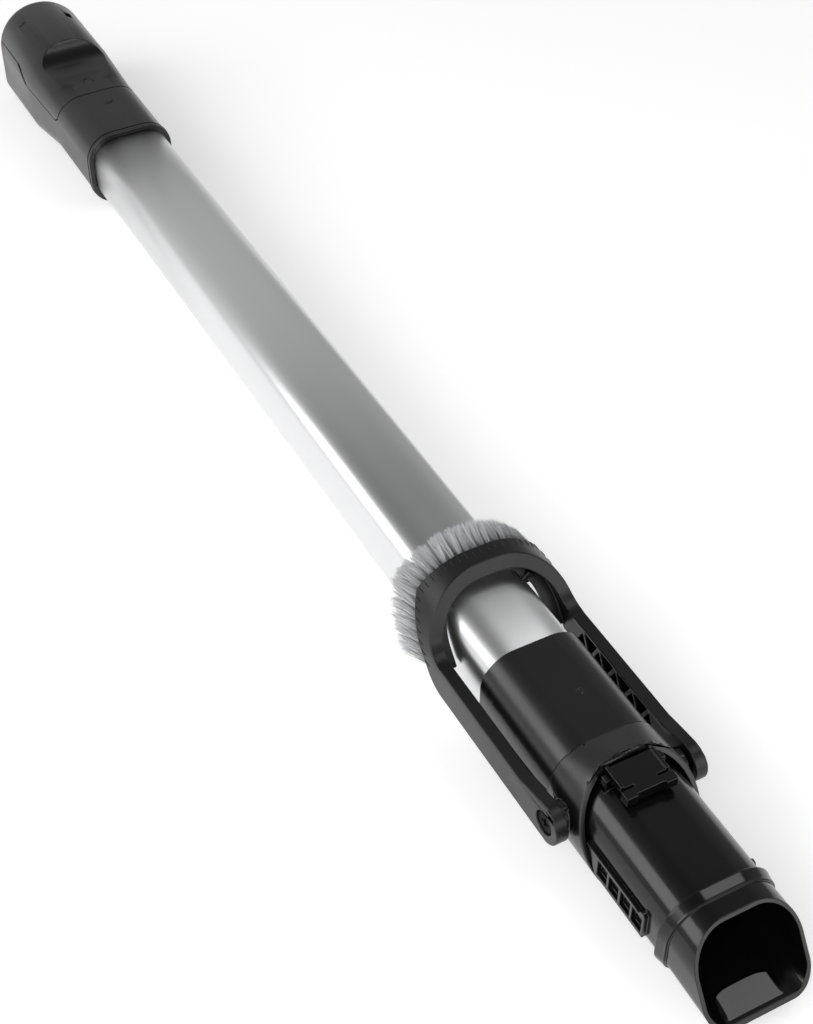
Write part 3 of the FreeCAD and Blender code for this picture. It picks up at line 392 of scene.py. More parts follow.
def surface(name: str, points: np.ndarray, wrap_rows: bool = False, wrap_columns: bool = False,
            flip: bool = False) -> bpy.types.Object:
    """A smooth mesh object from one grid of points, or from many of the same size.

    Args:
        name: The object's name.
        points: Station, y and height as (rows, columns, 3), or as (grids, rows, columns, 3).
        wrap_rows: Whether the last row of a grid joins its first.
        wrap_columns: Whether the last column of a grid joins its first.
        flip: Whether the faces have to be turned round to point outwards.

    Returns:
        The object, not yet linked.
    """
    rows, columns = points.shape[-3:-1]
    one = grid_faces(rows, columns, wrap_rows, wrap_columns)
    if flip:
        one = one[:, ::-1]
    placed = points.reshape(-1, 3) + MOUTH
    starts = np.arange(0, len(placed), rows * columns)
    faces = (one[None] + starts[:, None, None]).reshape(-1, 4)
    mesh = bpy.data.meshes.new(name)
    mesh.vertices.add(len(placed))
    mesh.vertices.foreach_set("co", (placed * MM).astype(np.float32).ravel())
    mesh.loops.add(faces.size)
    mesh.loops.foreach_set("vertex_index", faces.astype(np.int32).ravel())
    mesh.polygons.add(len(faces))
    mesh.polygons.foreach_set("loop_start", np.arange(0, faces.size, 4, dtype=np.int32))
    mesh.polygons.foreach_set("use_smooth", np.ones(len(faces), dtype=bool))
    mesh.update(calc_edges=True)
    mesh.validate()
    return bpy.data.objects.new(name, mesh)


@dataclass
class SoftMoulding:
    """A moulded piece with eased edges: a copy of a CAD node's mesh, merged, flattened and bevelled."""

    node: str
    finish: Finish
    body: Body
    slot: Slot
    edge: float = 0.5
    sharp: float = 35.0
    flat_angle: float = 0.5
    segments: int = 3
    room_share: float = 0.45
    least_share: float = 0.05

    def build(self, source: bpy.types.Object) -> bpy.types.Object:
        """Makes the piece.

        Args:
            source: The CAD node's object, which stays as it is.

        Returns:
            The finished object, which replaces the node.
        """
        mesh = merged_copy(source, f"{self.node}_moulding", self.flat_angle)
        mesh.set_sharp_from_angle(angle=math.radians(self.sharp))
        weights = mesh.attributes.new("bevel_weight_edge", "FLOAT", "EDGE")
        weights.data.foreach_set("value", self.weights(mesh).astype(np.float32))
        thing = bpy.data.objects.new(mesh.name, mesh)
        settle(thing, self.finish, self.body, self.slot, self.node)
        bevel = thing.modifiers.new("eased_edges", "BEVEL")
        bevel.width = self.edge * MM
        bevel.segments = self.segments
        bevel.limit_method = "WEIGHT"
        bevel.use_clamp_overlap = False
        bevel.harden_normals = True
        return thing

    def weights(self, mesh: bpy.types.Mesh) -> np.ndarray:
        """How much of the easing each edge takes.

        An edge between faces that meet at more than the sharp angle takes all of it. Where the edges that
        start at its ends are short, it takes only the room share of the shortest one's length, and the least
        share at the least. Other edges take none.

        Args:
            mesh: The merged and flattened copy.

        Returns:
            A share from 0 to 1 for each edge.
        """
        points = np.empty(len(mesh.vertices) * 3)
        mesh.vertices.foreach_get("co", points)
        points = points.reshape(-1, 3)
        ends = np.empty(len(mesh.edges) * 2, dtype=np.int32)
        mesh.edges.foreach_get("vertices", ends)
        ends = ends.reshape(-1, 2)
        length = np.linalg.norm(points[ends[:, 0]] - points[ends[:, 1]], axis=1)
        sharp = self.meet(mesh) < math.cos(math.radians(self.sharp))
        room = np.full(len(points), np.inf)
        np.minimum.at(room, ends[~sharp].ravel(), np.repeat(length[~sharp], 2))
        count = np.bincount(ends[sharp].ravel(), minlength=len(points))
        meeting = sharp & (count[ends] != 2).any(axis=1)
        np.minimum.at(room, ends[meeting].ravel(), np.repeat(length[meeting], 2))
        near = np.minimum(room[ends[:, 0]], room[ends[:, 1]])
        share = np.clip(self.room_share * near / (self.edge * MM), self.least_share, 1.0)
        return np.where(sharp, share, 0.0)

    def meet(self, mesh: bpy.types.Mesh) -> np.ndarray:
        """How the faces on both sides of each edge meet.

        Args:
            mesh: The merged and flattened copy.

        Returns:
            The cosine of the angle between the two faces' normals for each edge, or 1 at an open edge.
        """
        edge_of = np.empty(len(mesh.loops), dtype=np.int32)
        mesh.loops.foreach_get("edge_index", edge_of)
        sides = np.empty(len(mesh.polygons), dtype=np.int32)
        mesh.polygons.foreach_get("loop_total", sides)
        normals = np.empty(len(mesh.polygons) * 3)
        mesh.polygons.foreach_get("normal", normals)
        facing = np.repeat(normals.reshape(-1, 3), sides, axis=0)
        order = np.argsort(edge_of, kind="stable")
        sorted_edges = edge_of[order]
        first = np.flatnonzero(sorted_edges[:-1] == sorted_edges[1:])
        meet = np.ones(len(mesh.edges))
        meet[sorted_edges[first]] = np.sum(facing[order[first]] * facing[order[first + 1]], axis=1)
        return meet


@dataclass
class CoilSpring:
    """A merged copy of a CAD spring, which can't shorten with its joint itself; nothing here makes the copy
    shorten either.

    The fixed end is in metres in the frame. The travel is what the coil loses at the joint's limit.
    """

    node: str
    joint: str
    axis: Axis
    fixed_end: float
    travel: float

    def build(self, source: bpy.types.Object) -> bpy.types.Object:
        """Makes the coil.

        Args:
            source: The CAD node's object, which stays as it is.

        Returns:
            The finished object, which replaces the node.
        """
        mesh = merged_copy(source, f"{self.node}_coil")
        coil = bpy.data.objects.new(mesh.name, mesh)
        settle(coil, STEEL, Body.WAND, Slot.STEEL, self.node)
        low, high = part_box(self.node)
        index = self.axis.value
        anchor = [(start + stop) / 2 for start, stop in zip(low, high)]
        anchor[index] = self.fixed_end
        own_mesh(coil)
        return coil


@dataclass
class TubeShell:
    """The anodised tube as one even shell, so that light slides over its corners without creases."""

    width: float = 39.0
    height: float = 33.4
    wall: float = 1.2
    rear: float = -566.0
    front: float = -98.0
    power: float = 3.5
    around: int = 160
    edge: float = 0.4

    def build(self) -> bpy.types.Object:
        """Makes the tube.

        The section is a superellipse, in which the powers of the two offsets from the axis, each as a share
        of its half-width, add up to one. It runs along the outside, over both ends and back along the inside.

        Returns:
            The finished object.
        """
        turn = np.linspace(0.0, 2.0 * math.pi, self.around, endpoint=False)
        share = 2.0 / self.power
        across = np.sign(np.cos(turn)) * np.abs(np.cos(turn)) ** share
        upward = np.sign(np.sin(turn)) * np.abs(np.sin(turn)) ** share
        ends = np.array([self.rear, self.rear + self.edge, self.front - self.edge, self.front])
        stations = np.concatenate([ends, ends[::-1]])
        inset = np.array([self.edge, 0.0, 0.0, self.edge])
        painted_shade_node = np.concatenate([inset, self.wall - inset])
        points = np.empty((len(stations), self.around, 3))
        points[..., 0] = stations[:, None]
        points[..., 1] = (self.width / 2 - painted_shade_node)[:, None] * across
        points[..., 2] = (self.height / 2 - painted_shade_node)[:, None] * upward
        tube = surface("tube_shell", points, wrap_rows=True, wrap_columns=True)
        settle(tube, ANODISED, Body.WAND, Slot.TUBE, "outer_tube")
        return tube


@dataclass
class BowLine:
    """The middle line of the brush's bow: a flat crown, two round corners and two legs, leaning back."""

    half_width: float = 28.8
    corner: float = 24.6
    crown: float = 28.8
    foot: float = 0.5
    rear_low: float = -160.5
    rear_low_height: float = -1.45
    rear_lean: float = 0.88
    rear_knee: float = 21.3

    def grown(self, amount: float) -> "BowLine":
        """The line moved outwards by an amount, with its feet at the same height."""
        return replace(self, half_width=self.half_width + amount, corner=self.corner + amount,
                       crown=self.crown + amount)

    def half(self) -> float:
        """Length of the line from the middle of its crown to one foot."""
        leg = self.crown - self.corner - self.foot
        return self.half_width - self.corner + self.corner * math.pi / 2 + leg

    def spots(self, run: np.ndarray) -> tuple[np.ndarray, np.ndarray]:
        """Points of the line, from its left foot over the crown to its right foot.

        Args:
            run: Distances along the line from its middle, to both sides.

        Returns:
            The points' (y, height) and the outward directions there, which turn evenly along a corner.
        """
        flat = self.half_width - self.corner
        low = self.crown - self.corner
        side = np.sign(run)
        past = np.abs(run) - flat
        angle = np.clip(past / self.corner, 0.0, math.pi / 2)
        leg = np.maximum(past - self.corner * math.pi / 2, 0.0)
        out = np.stack([side * np.sin(angle), np.cos(angle)], axis=-1)
        centre = np.stack([side * np.minimum(np.abs(run), flat), low - leg], axis=-1)
        return centre + out * self.corner, out

    def rear(self, height: np.ndarray) -> np.ndarray:
        """Station of the bow's rear edge at a height: a slant up to the knee, then upright."""
        return self.rear_low - (np.minimum(height, self.rear_knee) - self.rear_low_height) * self.rear_lean


def ahead(out: np.ndarray) -> np.ndarray:
    """Directions along a bow's line, a quarter turn from its outward directions."""
    return np.stack([out[:, 1], -out[:, 0]], axis=-1)


@dataclass
class BristleRow:
    """The brush's fibres: tapered, slightly bent hairs in tufts along the bow's rear edge.

    Fan is the lean along the line and rise the lean outwards. The sizes that end in spread are the scatter
    from one fibre or tuft to the next. The fade sizes say where the rise fades, across the bow and above its
    feet, and the tone, tip and edge sizes give the fibres' painted shade: darker at their roots and at their
    tufts' edges, where fibres shade one another.
    """

    line: BowLine
    strip: float = 1.4
    reach: float = 11.5
    reach_spread: float = 0.10
    end_gap: float = 0.3
    flare: float = 4.6
    flare_gain: float = 0.10
    rise_spread: float = 0.35
    sweep: float = -0.8
    fan_gain: float = 0.3
    fan_spread: float = 0.45
    tuft_fan_spread: float = 0.5
    bend_spread: float = 0.5
    fade_start: float = 2.0
    fade_width: float = 20.0
    fade_foot: float = 3.0
    fade_height: float = 8.0
    pitch: float = 3.1
    hairs: int = 110
    hair_radius: float = 0.13
    hair_sides: int = 3
    steps: tuple[float, ...] = (0.0, 0.35, 0.7, 1.0)
    taper: tuple[float, ...] = (1.0, 0.95, 0.85, 0.35)
    tuft_radius: float = 1.6
    painted_root_tone: float = 0.45
    tip_gain: float = 0.6
    tip_power: float = 0.6
    painted_edge_shade: float = 0.75
    edge_ease: float = 0.8
    tone_spread: float = 0.12
    tone_limits: Span = (0.04, 1.1)
    seed: int = 7

    def build(self) -> bpy.types.Object:
        """Makes all the fibres as one mesh of three-sided tapers, kept inside the CAD tufts' box.

        Each fibre starts at its tuft's root, shifted at random inside the tuft, and runs back and outwards
        with a small random turn. The row is swept towards its left, so the outward lean fades on its right.

        Returns:
            The finished object, which replaces the tufts.
        """
        dice = np.random.default_rng(self.seed)
        half = self.line.half()
        tufts = int(2 * half / self.pitch) + 1
        runs = np.repeat(np.linspace(-half, half, tufts), self.hairs)
        count = len(runs)
        spread = self.tuft_radius * np.sqrt(dice.random(count))
        turn = dice.random(count) * 2.0 * math.pi
        middle, out = self.line.spots(runs)
        along = ahead(out)
        shift = spread * np.cos(turn)
        lift = spread * np.sin(turn)
        spot = middle + along * shift[:, None] + out * lift[:, None]
        root = np.column_stack([self.line.rear(spot[:, 1]) - self.strip / 2, spot])
        tuft_fan = np.repeat(dice.normal(0.0, self.tuft_fan_spread, tufts), self.hairs)
        fan = tuft_fan + shift * self.fan_gain + dice.normal(0.0, self.fan_spread, count)
        low, high = (np.array(corner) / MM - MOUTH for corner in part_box("bristles"))
        fade = (np.clip((middle[:, 0] - self.fade_start) / self.fade_width, 0.0, 1.0)
                * np.clip((middle[:, 1] - self.fade_foot) / self.fade_height, 0.0, 1.0))
        rise = (self.flare * (1.0 - fade) * (1.0 + self.flare_gain * lift)
                + dice.normal(0.0, self.rise_spread, count))
        room = root[:, 0] - low[0] - self.end_gap
        short = np.abs(dice.normal(0.0, self.reach_spread, count))
        back = np.minimum(self.reach, room) * (1.0 - short)
        lean = np.column_stack([-back, out * rise[:, None] + along * fan[:, None]])
        lean[:, 1] += self.sweep
        side = np.column_stack([np.zeros(count), along])
        bend = side * dice.normal(0.0, self.bend_spread, count)[:, None]
        points = np.clip(self.tapers(root, lean, bend, side), low, high)
        row = surface("bristle_fibres", points, wrap_columns=True)
        # Painted shade from the roots and tuft edges, times a random tone from one fibre to the next.
        painted_shade_and_tone = self.painted_shade_tones(shift) * (1.0 + dice.normal(0.0, self.tone_spread, count))[:, None]
        painted_shade_and_tone = np.repeat(np.clip(painted_shade_and_tone, *self.tone_limits).ravel(), self.hair_sides)
        painted_shade = row.data.attributes.new(PAINTED_SHADE, "FLOAT", "POINT")
        painted_shade.data.foreach_set("value", painted_shade_and_tone.astype(np.float32))
        settle(row, BRISTLE, Body.BRUSH, Slot.BRISTLE, "bristles")
        return row

    def tapers(self, root: np.ndarray, lean: np.ndarray, bend: np.ndarray, side: np.ndarray) -> np.ndarray:
        """The fibres' points, in rings about bent middle lines.

        A middle line's point is the root, plus the lean times the share of the length that is passed, plus
        the bend times the square of that share. A ring's radius there is the hair's radius times the taper.

        Args:
            root: Where each fibre starts.
            lean: The way from its root to its tip, without the bend.
            bend: How far the bend takes its tip.
            side: A direction across it.

        Returns:
            The points as (fibres, steps, sides, 3).
        """
        steps = np.array(self.steps)
        spine = (root[:, None, :] + lean[:, None, :] * steps[None, :, None]
                 + bend[:, None, :] * (steps**2)[None, :, None])
        thick = self.hair_radius * np.array(self.taper)
        ring = np.arange(self.hair_sides) * 2.0 * math.pi / self.hair_sides
        upright = np.cross(lean / np.linalg.norm(lean, axis=1)[:, None], side)
        circle = (side[:, None, :] * np.cos(ring)[None, :, None]
                  + upright[:, None, :] * np.sin(ring)[None, :, None])
        return spine[:, :, None, :] + circle[:, None, :, :] * thick[None, :, None, None]

    def painted_shade_tones(self, shift: np.ndarray) -> np.ndarray:
        """Painted shade along each fibre: dark at its root and at its tuft's edge, where fibres shade one
        another.

        It rises from the root with a power of the share of the length that is passed. The edge takes off a
        part that grows with the fourth power of the shift in the tuft and eases towards the tip.

        Args:
            shift: How far along the bow's line each fibre stands from the middle of its tuft.

        Returns:
            The brightness as (fibres, steps).
        """
        steps = np.array(self.steps)[None, :]
        edge = (np.abs(shift) / self.tuft_radius)[:, None] ** 4
        return (self.painted_root_tone + self.tip_gain * steps**self.tip_power
                - self.painted_edge_shade * edge * (1.0 - self.edge_ease * steps))


def drawn_in(count: int, power: int) -> np.ndarray:
    """How full a raised line is along its length: the root of one less a power of the way from its middle."""
    travel = np.linspace(-1.0, 1.0, count)
    return np.sqrt(np.clip(1.0 - travel**power, 0.0, 1.0))


@dataclass
class BowRibs:
    """The fine ribs across the bow's outer band, spaced as the tufts are."""

    line: BowLine
    pitch: float
    growth: float = 2.6
    margin: float = 1.5
    start: float = 0.5
    length: float = 4.0
    length_steps: int = 6
    gauge: float = 0.55
    rise: float = 0.28
    end_power: int = 6

    def build(self) -> bpy.types.Object:
        """Makes all the ribs as one mesh: a half-ellipse carried forwards from the bow's rear edge.

        Returns:
            The finished object.
        """
        outer = self.line.grown(self.growth)
        half = outer.half()
        middle, out = outer.spots(np.arange(-half + self.margin, half - self.margin, self.pitch))
        along = ahead(out)
        turn = np.linspace(0.0, math.pi, STROKE_STEPS)
        step = np.linspace(0.0, self.length, self.length_steps)
        full = drawn_in(self.length_steps, self.end_power)[:, None]
        side = (np.cos(turn) * full * self.gauge / 2)[None, :, :, None]
        lift = (np.sin(turn) * full * self.rise - STROKE_SINK)[None, :, :, None]
        points = np.empty((len(middle), self.length_steps, STROKE_STEPS, 3))
        points[..., 0] = outer.rear(middle[:, 1])[:, None, None] + self.start + step[None, :, None]
        points[..., 1:] = (middle[:, None, None, :] + along[:, None, None, :] * side
                           + out[:, None, None, :] * lift)
        ribs = surface("bow_ribs", points)
        settle(ribs, ARM_BLACK, Body.BRUSH, Slot.SATIN)
        return ribs


@dataclass
class LockMark:
    """A small raised hoop moulded beside the release seam: a half-circle with two straight legs."""

    name: str
    body: Body
    station: float
    y: float
    height: float
    legs: Facing
    radius: float = 2.6
    leg_length: float = 2.0
    gauge: float = 1.1
    rise: float = 0.45
    bend_steps: int = 25
    leg_steps: int = 7
    end_power: int = 8

    def path(self) -> np.ndarray:
        """The hoop's (station, y): a leg, a half-circle away from the legs and the other leg.

        Returns:
            One line for each point, about evenly spaced.
        """
        turn = np.linspace(0.0, math.pi, self.bend_steps)
        bend = np.stack([-self.legs.value * np.sin(turn), np.cos(turn)], axis=-1) * self.radius
        run = np.linspace(self.leg_length, 0.0, self.leg_steps, endpoint=False)
        first = np.stack([self.legs.value * run, np.full(len(run), self.radius)], axis=-1)
        last = np.stack([self.legs.value * run[::-1], np.full(len(run), -self.radius)], axis=-1)
        return np.concatenate([first, bend, last]) + np.array([self.station, self.y])

    def build(self) -> bpy.types.Object:
        """Makes the mark: a half-ellipse carried along the path and drawn in to a point at both ends.

        Returns:
            The finished object.
        """
        line = self.path()
        along = np.gradient(line, axis=0)
        along /= np.linalg.norm(along, axis=1)[:, None]
        across = np.stack([-along[:, 1], along[:, 0]], axis=-1)
        full = drawn_in(len(line), self.end_power)[:, None]
        turn = np.linspace(0.0, math.pi, STROKE_STEPS)
        offset = np.cos(turn) * full * self.gauge / 2
        points = np.empty((len(line), STROKE_STEPS, 3))
        points[..., :2] = line[:, None, :] + across[:, None, :] * offset[..., None]
        points[..., 2] = self.height + np.sin(turn) * full * self.rise - STROKE_SINK
        mark = surface(self.name, points)
        settle(mark, ARM_BLACK, self.body, Slot.SATIN)
        return mark


@dataclass
class CatchFloor:
    """The floor of the cover's left catch window, which is only a shallow recess."""

    rear: float = -649.0
    front: float = -637.0
    near: float = -15.0
    far: float = -10.2
    centre: float = 4.0
    radius: float = 23.6
    shallow: float = 0.20
    deep: float = 0.75
    steps: int = 10

    def build(self) -> bpy.types.Object:
        """Makes the floor: an arc about the cover's axis that sinks evenly towards the rear.

        Returns:
            The finished object.
        """
        stations = np.linspace(self.rear, self.front, self.steps)
        across = np.linspace(self.near, self.far, self.steps)
        sink = np.linspace(self.deep, self.shallow, self.steps)
        points = np.empty((self.steps, self.steps, 3))
        points[..., 0] = stations[:, None]
        points[..., 1] = across
        points[..., 2] = self.centre + np.sqrt(self.radius**2 - across**2) - sink[:, None]
        floor = surface("catch_floor", points, flip=True)
        settle(floor, SATIN_BLACK, Body.SLIDER, Slot.SATIN)
        return floor


@dataclass
class GateMark:
    """The moulding gate's mark on the sleeve: a low ring round a small pip."""

    station: float = -110.9
    y: float = 2.9
    height: float = 18.8
    sink: float = 0.02
    pole: float = 0.02
    radius: float = 1.9
    ring: float = 1.15
    ring_width: float = 0.28
    pip_width: float = 0.3
    pip_share: float = 0.7
    rise: float = 0.22
    rings: int = 14
    around: int = 28

    def build(self) -> bpy.types.Object:
        """Makes the mark, a surface turned about an upright axis.

        Its height falls off as a bell curve to both sides of the ring, plus a narrower bell at the middle.

        Returns:
            The finished object.
        """
        out = np.linspace(self.pole, self.radius, self.rings)[:, None]
        turn = np.linspace(0.0, 2.0 * math.pi, self.around, endpoint=False)
        ring = np.exp(-(((out - self.ring) / self.ring_width) ** 2))
        pip = self.pip_share * np.exp(-((out / self.pip_width) ** 2))
        points = np.empty((self.rings, self.around, 3))
        points[..., 0] = self.station + out * np.cos(turn)
        points[..., 1] = self.y + out * np.sin(turn)
        points[..., 2] = self.height - self.sink + self.rise * (ring + pip)
        mark = surface("gate_mark", points, wrap_columns=True, flip=True)
        settle(mark, SATIN_BLACK, Body.WAND, Slot.SATIN)
        return mark


@dataclass
class SpigotTrim:
    """The spigot's sloped bead over its ring, and the liner and lead-in ramp inside its mouth."""

    half_width: float = 20.9
    top: float = 16.0
    bottom: float = 15.5
    corner: float = 14.5
    foot: float = 9.0
    quarter_steps: int = 24
    ring_start: float = -22.45
    ring_length: float = 4.9
    ring_rise: float = 0.92
    bead_sink: float = 0.05
    bead_climb: float = 0.14
    bead_fall: float = 0.2
    climb_steps: int = 8
    fall_steps: int = 9
    crown: float = 0.9
    liner_stations: tuple[float, ...] = (-26.0, -22.6, -18.0, -13.0, -12.0)
    liner_growth: tuple[float, ...] = (-1.76, -1.74, -1.5, -1.24, -1.15)
    floor: float = -14.3
    ramp_sink: float = 0.04
    ramp_rear: float = -3.4
    ramp_front: float = 8.0
    ramp_left: float = -14.0
    ramp_right: float = 10.5
    ramp_rise: float = 1.5
    ramp_drop: float = 0.07
    ramp_fade: float = 0.09
    ramp_draw: float = 3.5
    ramp_rows: int = 40
    ramp_columns: int = 48

    def build(self) -> list[bpy.types.Object]:
        """Makes the three pieces."""
        return [self.bead(), self.liner(), self.ramp()]

    def sleeve(self, stations: np.ndarray, growth: np.ndarray) -> np.ndarray:
        """The spigot's section, grown by an amount at each station: four arcs joined by straights.

        The arcs keep their centres, and their radii grow.

        Args:
            stations: Where along the wand, one for each row.
            growth: How far to grow the section there.

        Returns:
            The points as (rows, points, 3), anticlockwise from the right side.
        """
        quarter = np.linspace(0.0, math.pi / 2, self.quarter_steps)
        turn = np.concatenate([quarter + step * math.pi / 2 for step in range(4)])
        upper = np.repeat([True, True, False, False], len(quarter))
        side = np.repeat([1.0, -1.0, -1.0, 1.0], len(quarter))
        radius = np.where(upper, self.corner, self.foot)
        reach = radius[None, :] + growth[:, None]
        points = np.empty((len(stations), len(turn), 3))
        points[..., 0] = stations[:, None]
        points[..., 1] = side * (self.half_width - radius) + reach * np.cos(turn)
        points[..., 2] = np.where(upper, self.top - radius, radius - self.bottom) + reach * np.sin(turn)
        return points

    def bead(self) -> bpy.types.Object:
        """Makes the bead, which rises quickly at its rear and falls evenly towards the mouth.

        Its height is the crown times the share of its length still to go, and over the first part it comes
        up as a quarter of a parabola.

        Returns:
            The finished object.
        """
        along = np.concatenate([np.linspace(0.0, self.bead_climb, self.climb_steps),
                                np.linspace(self.bead_fall, 1.0, self.fall_steps)])
        climb = 1.0 - (1.0 - np.minimum(along / self.bead_climb, 1.0)) ** 2
        growth = self.ring_rise - self.bead_sink + self.crown * (1.0 - along) * climb
        points = self.sleeve(self.ring_start + self.ring_length * along, growth)
        bead = surface("spigot_bead", points, wrap_columns=True)
        settle(bead, GLOSS_BLACK, Body.WAND, Slot.GLOSS)
        return bead

    def liner(self) -> bpy.types.Object:
        """Makes the liner: a short cone that carries the bore over its step without an edge.

        Returns:
            The finished object.
        """
        points = self.sleeve(np.array(self.liner_stations), np.array(self.liner_growth))
        liner = surface("mouth_liner", points, wrap_columns=True, flip=True)
        settle(liner, GLOSS_BLACK, Body.WAND, Slot.GLOSS)
        return liner

    def ramp(self) -> bpy.types.Object:
        """Makes the ramp: it rises evenly from the lip inwards, then drops, and fades at both sides.

        Its rear end is drawn forwards with the fourth power of the distance from its middle, and the fade at
        its sides is an even curve from 0 to 1 that starts and ends level.

        Returns:
            The finished object.
        """
        along = np.linspace(0.0, 1.0, self.ramp_rows)[:, None]
        across = np.linspace(0.0, 1.0, self.ramp_columns)
        rise = np.minimum((1.0 - along) / (1.0 - self.ramp_drop), along / self.ramp_drop)
        edge = np.clip(np.minimum(across, 1.0 - across) / self.ramp_fade, 0.0, 1.0)
        fade = edge * edge * (3.0 - 2.0 * edge)
        rear = self.ramp_rear + self.ramp_draw * (2.0 * across - 1.0) ** 4
        points = np.empty((self.ramp_rows, self.ramp_columns, 3))
        points[..., 0] = rear + along * (self.ramp_front - rear)
        points[..., 1] = self.ramp_left + across * (self.ramp_right - self.ramp_left)
        points[..., 2] = self.floor - self.ramp_sink + self.ramp_rise * rise * fade
        ramp = surface("mouth_ramp", points, flip=True)
        settle(ramp, GLOSS_BLACK, Body.WAND, Slot.GLOSS)
        return ramp


@dataclass(frozen=True)
class Softbox:
    """A rectangular soft light: its place, what it faces, its two sides and its power in watts."""

    name: str
    place: Point
    aim: Point
    across: float
    upward: float
    power: float

    def hang(self) -> None:
        """Hangs the light in the scene."""
        light = bpy.data.lights.new(self.name, "AREA")
        light.shape = "RECTANGLE"
        light.size = self.across
        light.size_y = self.upward
        light.energy = self.power
        lamp = bpy.data.objects.new(self.name, light)
        lamp.location = self.place
        lamp.rotation_euler = (Vector(self.aim) - Vector(self.place)).to_track_quat("-Z", "Y").to_euler()
        bpy.context.scene.collection.objects.link(lamp)


# By the camera, on the left, over the mouth and in front of it.
SOFTBOXES = (
    Softbox("key", (0.95, -0.95, 0.95), (0.0, 0.0, 0.03), 1.3, 1.3, 9.0),
    Softbox("left", (-0.35, -1.2, 0.80), (0.1, 0.0, 0.03), 1.1, 0.8, 8.0),
    Softbox("mouth", (0.327, 0.28, 0.65), (0.327, 0.0, 0.01), 0.25, 0.25, 0.5),
    Softbox("front", (1.7, 0.50, 0.45), (0.15, 0.0, 0.03), 1.6, 0.9, 8.0),
)


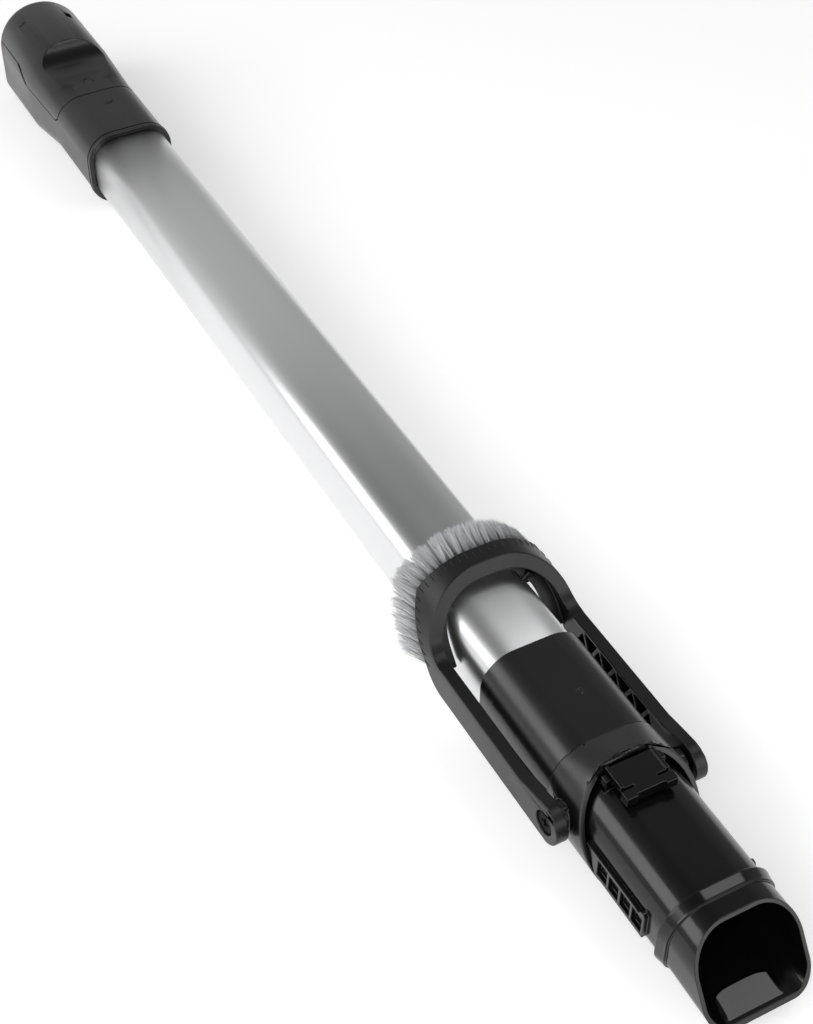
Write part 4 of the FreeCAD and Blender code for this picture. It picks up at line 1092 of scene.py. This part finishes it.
@dataclass
class Studio:
    """Floor, soft lights, world and camera, in metres."""

    camera_place: Point = (0.2345 + MOUTH_STATION * MM, -0.2531, 0.5149 + AXIS_HEIGHT * MM)
    azimuth: float = 61.688
    elevation: float = 43.813
    lens: float = 64.468
    sensor: float = 36.0
    near_clip: float = 0.01
    floor_half: float = 6.0
    floor_colour: Colour = grey(0.86)
    floor_roughness: float = 0.9
    floor_glow: float = 0.40
    horizon: float = 0.62
    zenith: float = 0.15
    dim_heights: Span = (0.60, 0.95)
    right_share: float = 0.6
    dim_sides: Span = (-0.2, 0.7)

    def build(self) -> None:
        """Builds the whole studio."""
        self.floor()
        self.world()
        for softbox in SOFTBOXES:
            softbox.hang()
        self.camera()

    def floor(self) -> None:
        """Lays a white floor that glows a little for the camera and in gloss, and still keeps the shadow."""
        side = self.floor_half
        square = [(-side, -side, 0), (side, -side, 0), (side, side, 0), (-side, side, 0)]
        mesh = bpy.data.meshes.new("floor")
        mesh.from_pydata(square, [], [(0, 1, 2, 3)])
        floor = bpy.data.objects.new("floor", mesh)
        bpy.context.scene.collection.objects.link(floor)
        paper = bpy.data.materials.new("floor_paper")
        paper.use_nodes = True
        tree = paper.node_tree
        shader = tree.nodes["Principled BSDF"]
        shader.inputs["Base Color"].default_value = self.floor_colour
        shader.inputs["Roughness"].default_value = self.floor_roughness
        shader.inputs["Specular IOR Level"].default_value = 0.0
        shader.inputs["Emission Color"].default_value = grey(1.0)
        rays = tree.nodes.new("ShaderNodeLightPath").outputs
        seen = math_node(tree, "ADD", rays["Is Camera Ray"], rays["Is Glossy Ray"])
        lift = math_node(tree, "ADD", seen.outputs[0], rays["Is Transmission Ray"])
        lift.use_clamp = True
        level = math_node(tree, "MULTIPLY", lift.outputs[0])
        level.inputs[1].default_value = self.floor_glow
        tree.links.new(level.outputs[0], shader.inputs["Emission Strength"])
        mesh.materials.append(paper)

    def world(self) -> None:
        """Sets a grey world: even up to the first height, dim at the zenith and dimmer on the right."""
        world = bpy.data.worlds.new("studio_world")
        world.use_nodes = True
        tree = world.node_tree
        place = tree.nodes.new("ShaderNodeTexCoord")
        split = tree.nodes.new("ShaderNodeSeparateXYZ")
        tree.links.new(place.outputs["Generated"], split.inputs["Vector"])
        upward = carried(tree, split.outputs["Z"], self.dim_heights, (self.horizon, self.zenith))
        across = carried(tree, split.outputs["Y"], self.dim_sides, (1.0, self.right_share))
        level = math_node(tree, "MULTIPLY", upward, across)
        background = tree.nodes["Background"]
        tree.links.new(level.outputs[0], background.inputs["Strength"])
        background.inputs["Color"].default_value = grey(1.0)
        bpy.context.scene.world = world

    def camera(self) -> None:
        """Stands the camera where the photograph was taken from."""
        lens = bpy.data.cameras.new("camera")
        lens.lens = self.lens
        lens.sensor_width = self.sensor
        lens.clip_start = self.near_clip
        camera = bpy.data.objects.new("camera", lens)
        camera.location = self.camera_place
        camera.rotation_euler = (math.radians(90.0 - self.elevation), 0.0, math.radians(self.azimuth))
        bpy.context.scene.collection.objects.link(camera)
        bpy.context.scene.camera = camera


MOULDINGS = (
    SoftMoulding("housing_body", SATIN_BLACK, Body.WAND, Slot.SATIN),
    SoftMoulding("release_slider", SATIN_BLACK, Body.SLIDER, Slot.SATIN, edge=0.3, flat_angle=0.0),
    SoftMoulding("lower_sleeve", SATIN_BLACK, Body.WAND, Slot.SATIN),
    SoftMoulding("pivot_collar", SATIN_BLACK, Body.WAND, Slot.SATIN, edge=0.6),
    SoftMoulding("brush_yoke", ARM_BLACK, Body.BRUSH, Slot.SATIN),
    SoftMoulding("spigot", GLOSS_BLACK, Body.WAND, Slot.GLOSS, edge=0.3),
    SoftMoulding("latch_tongue", GLOSS_BLACK, Body.LATCH, Slot.GLOSS, edge=0.25),
)

SPRINGS = (
    CoilSpring("slider_spring", "slider_push", Axis.X, -0.32198, 3.05),
    CoilSpring("latch_spring", "latch_press", Axis.Z, 0.039, 0.75),
)

LOCK_MARKS = (
    LockMark("open_mark", Body.SLIDER, -581.8, -0.4, 19.3, Facing.MOUTH),
    LockMark("shut_mark", Body.WAND, -559.8, 1.4, 19.3, Facing.HANDLE),
)


def main() -> None:
    """Loads the frame, dresses it, adds the pieces and builds the studio."""
    logging.basicConfig(level=logging.INFO)
    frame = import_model()
    bpy.context.scene.view_settings.view_transform = "Standard"
    for node, finish in NODE_FINISHES.items():
        dress(frame["nodes"][node], finish)
        LOG.info("dressed %s in %s", node, finish.name)
    pieces = [shaped.build(frame["nodes"][shaped.node]) for shaped in MOULDINGS + SPRINGS]
    pieces.append(TubeShell().build())
    bow = BowLine()
    bristles = BristleRow(bow)
    pieces.append(bristles.build())
    pieces.append(BowRibs(bow, bristles.pitch).build())
    pieces += SpigotTrim().build()
    pieces.append(GateMark().build())
    pieces.append(CatchFloor().build())
    pieces += [mark.build() for mark in LOCK_MARKS]
    for piece in pieces:
        LOG.info("made %s, %d faces", piece.name, len(piece.data.polygons))
    Studio().build()


if __name__ == "__main__":
    main()
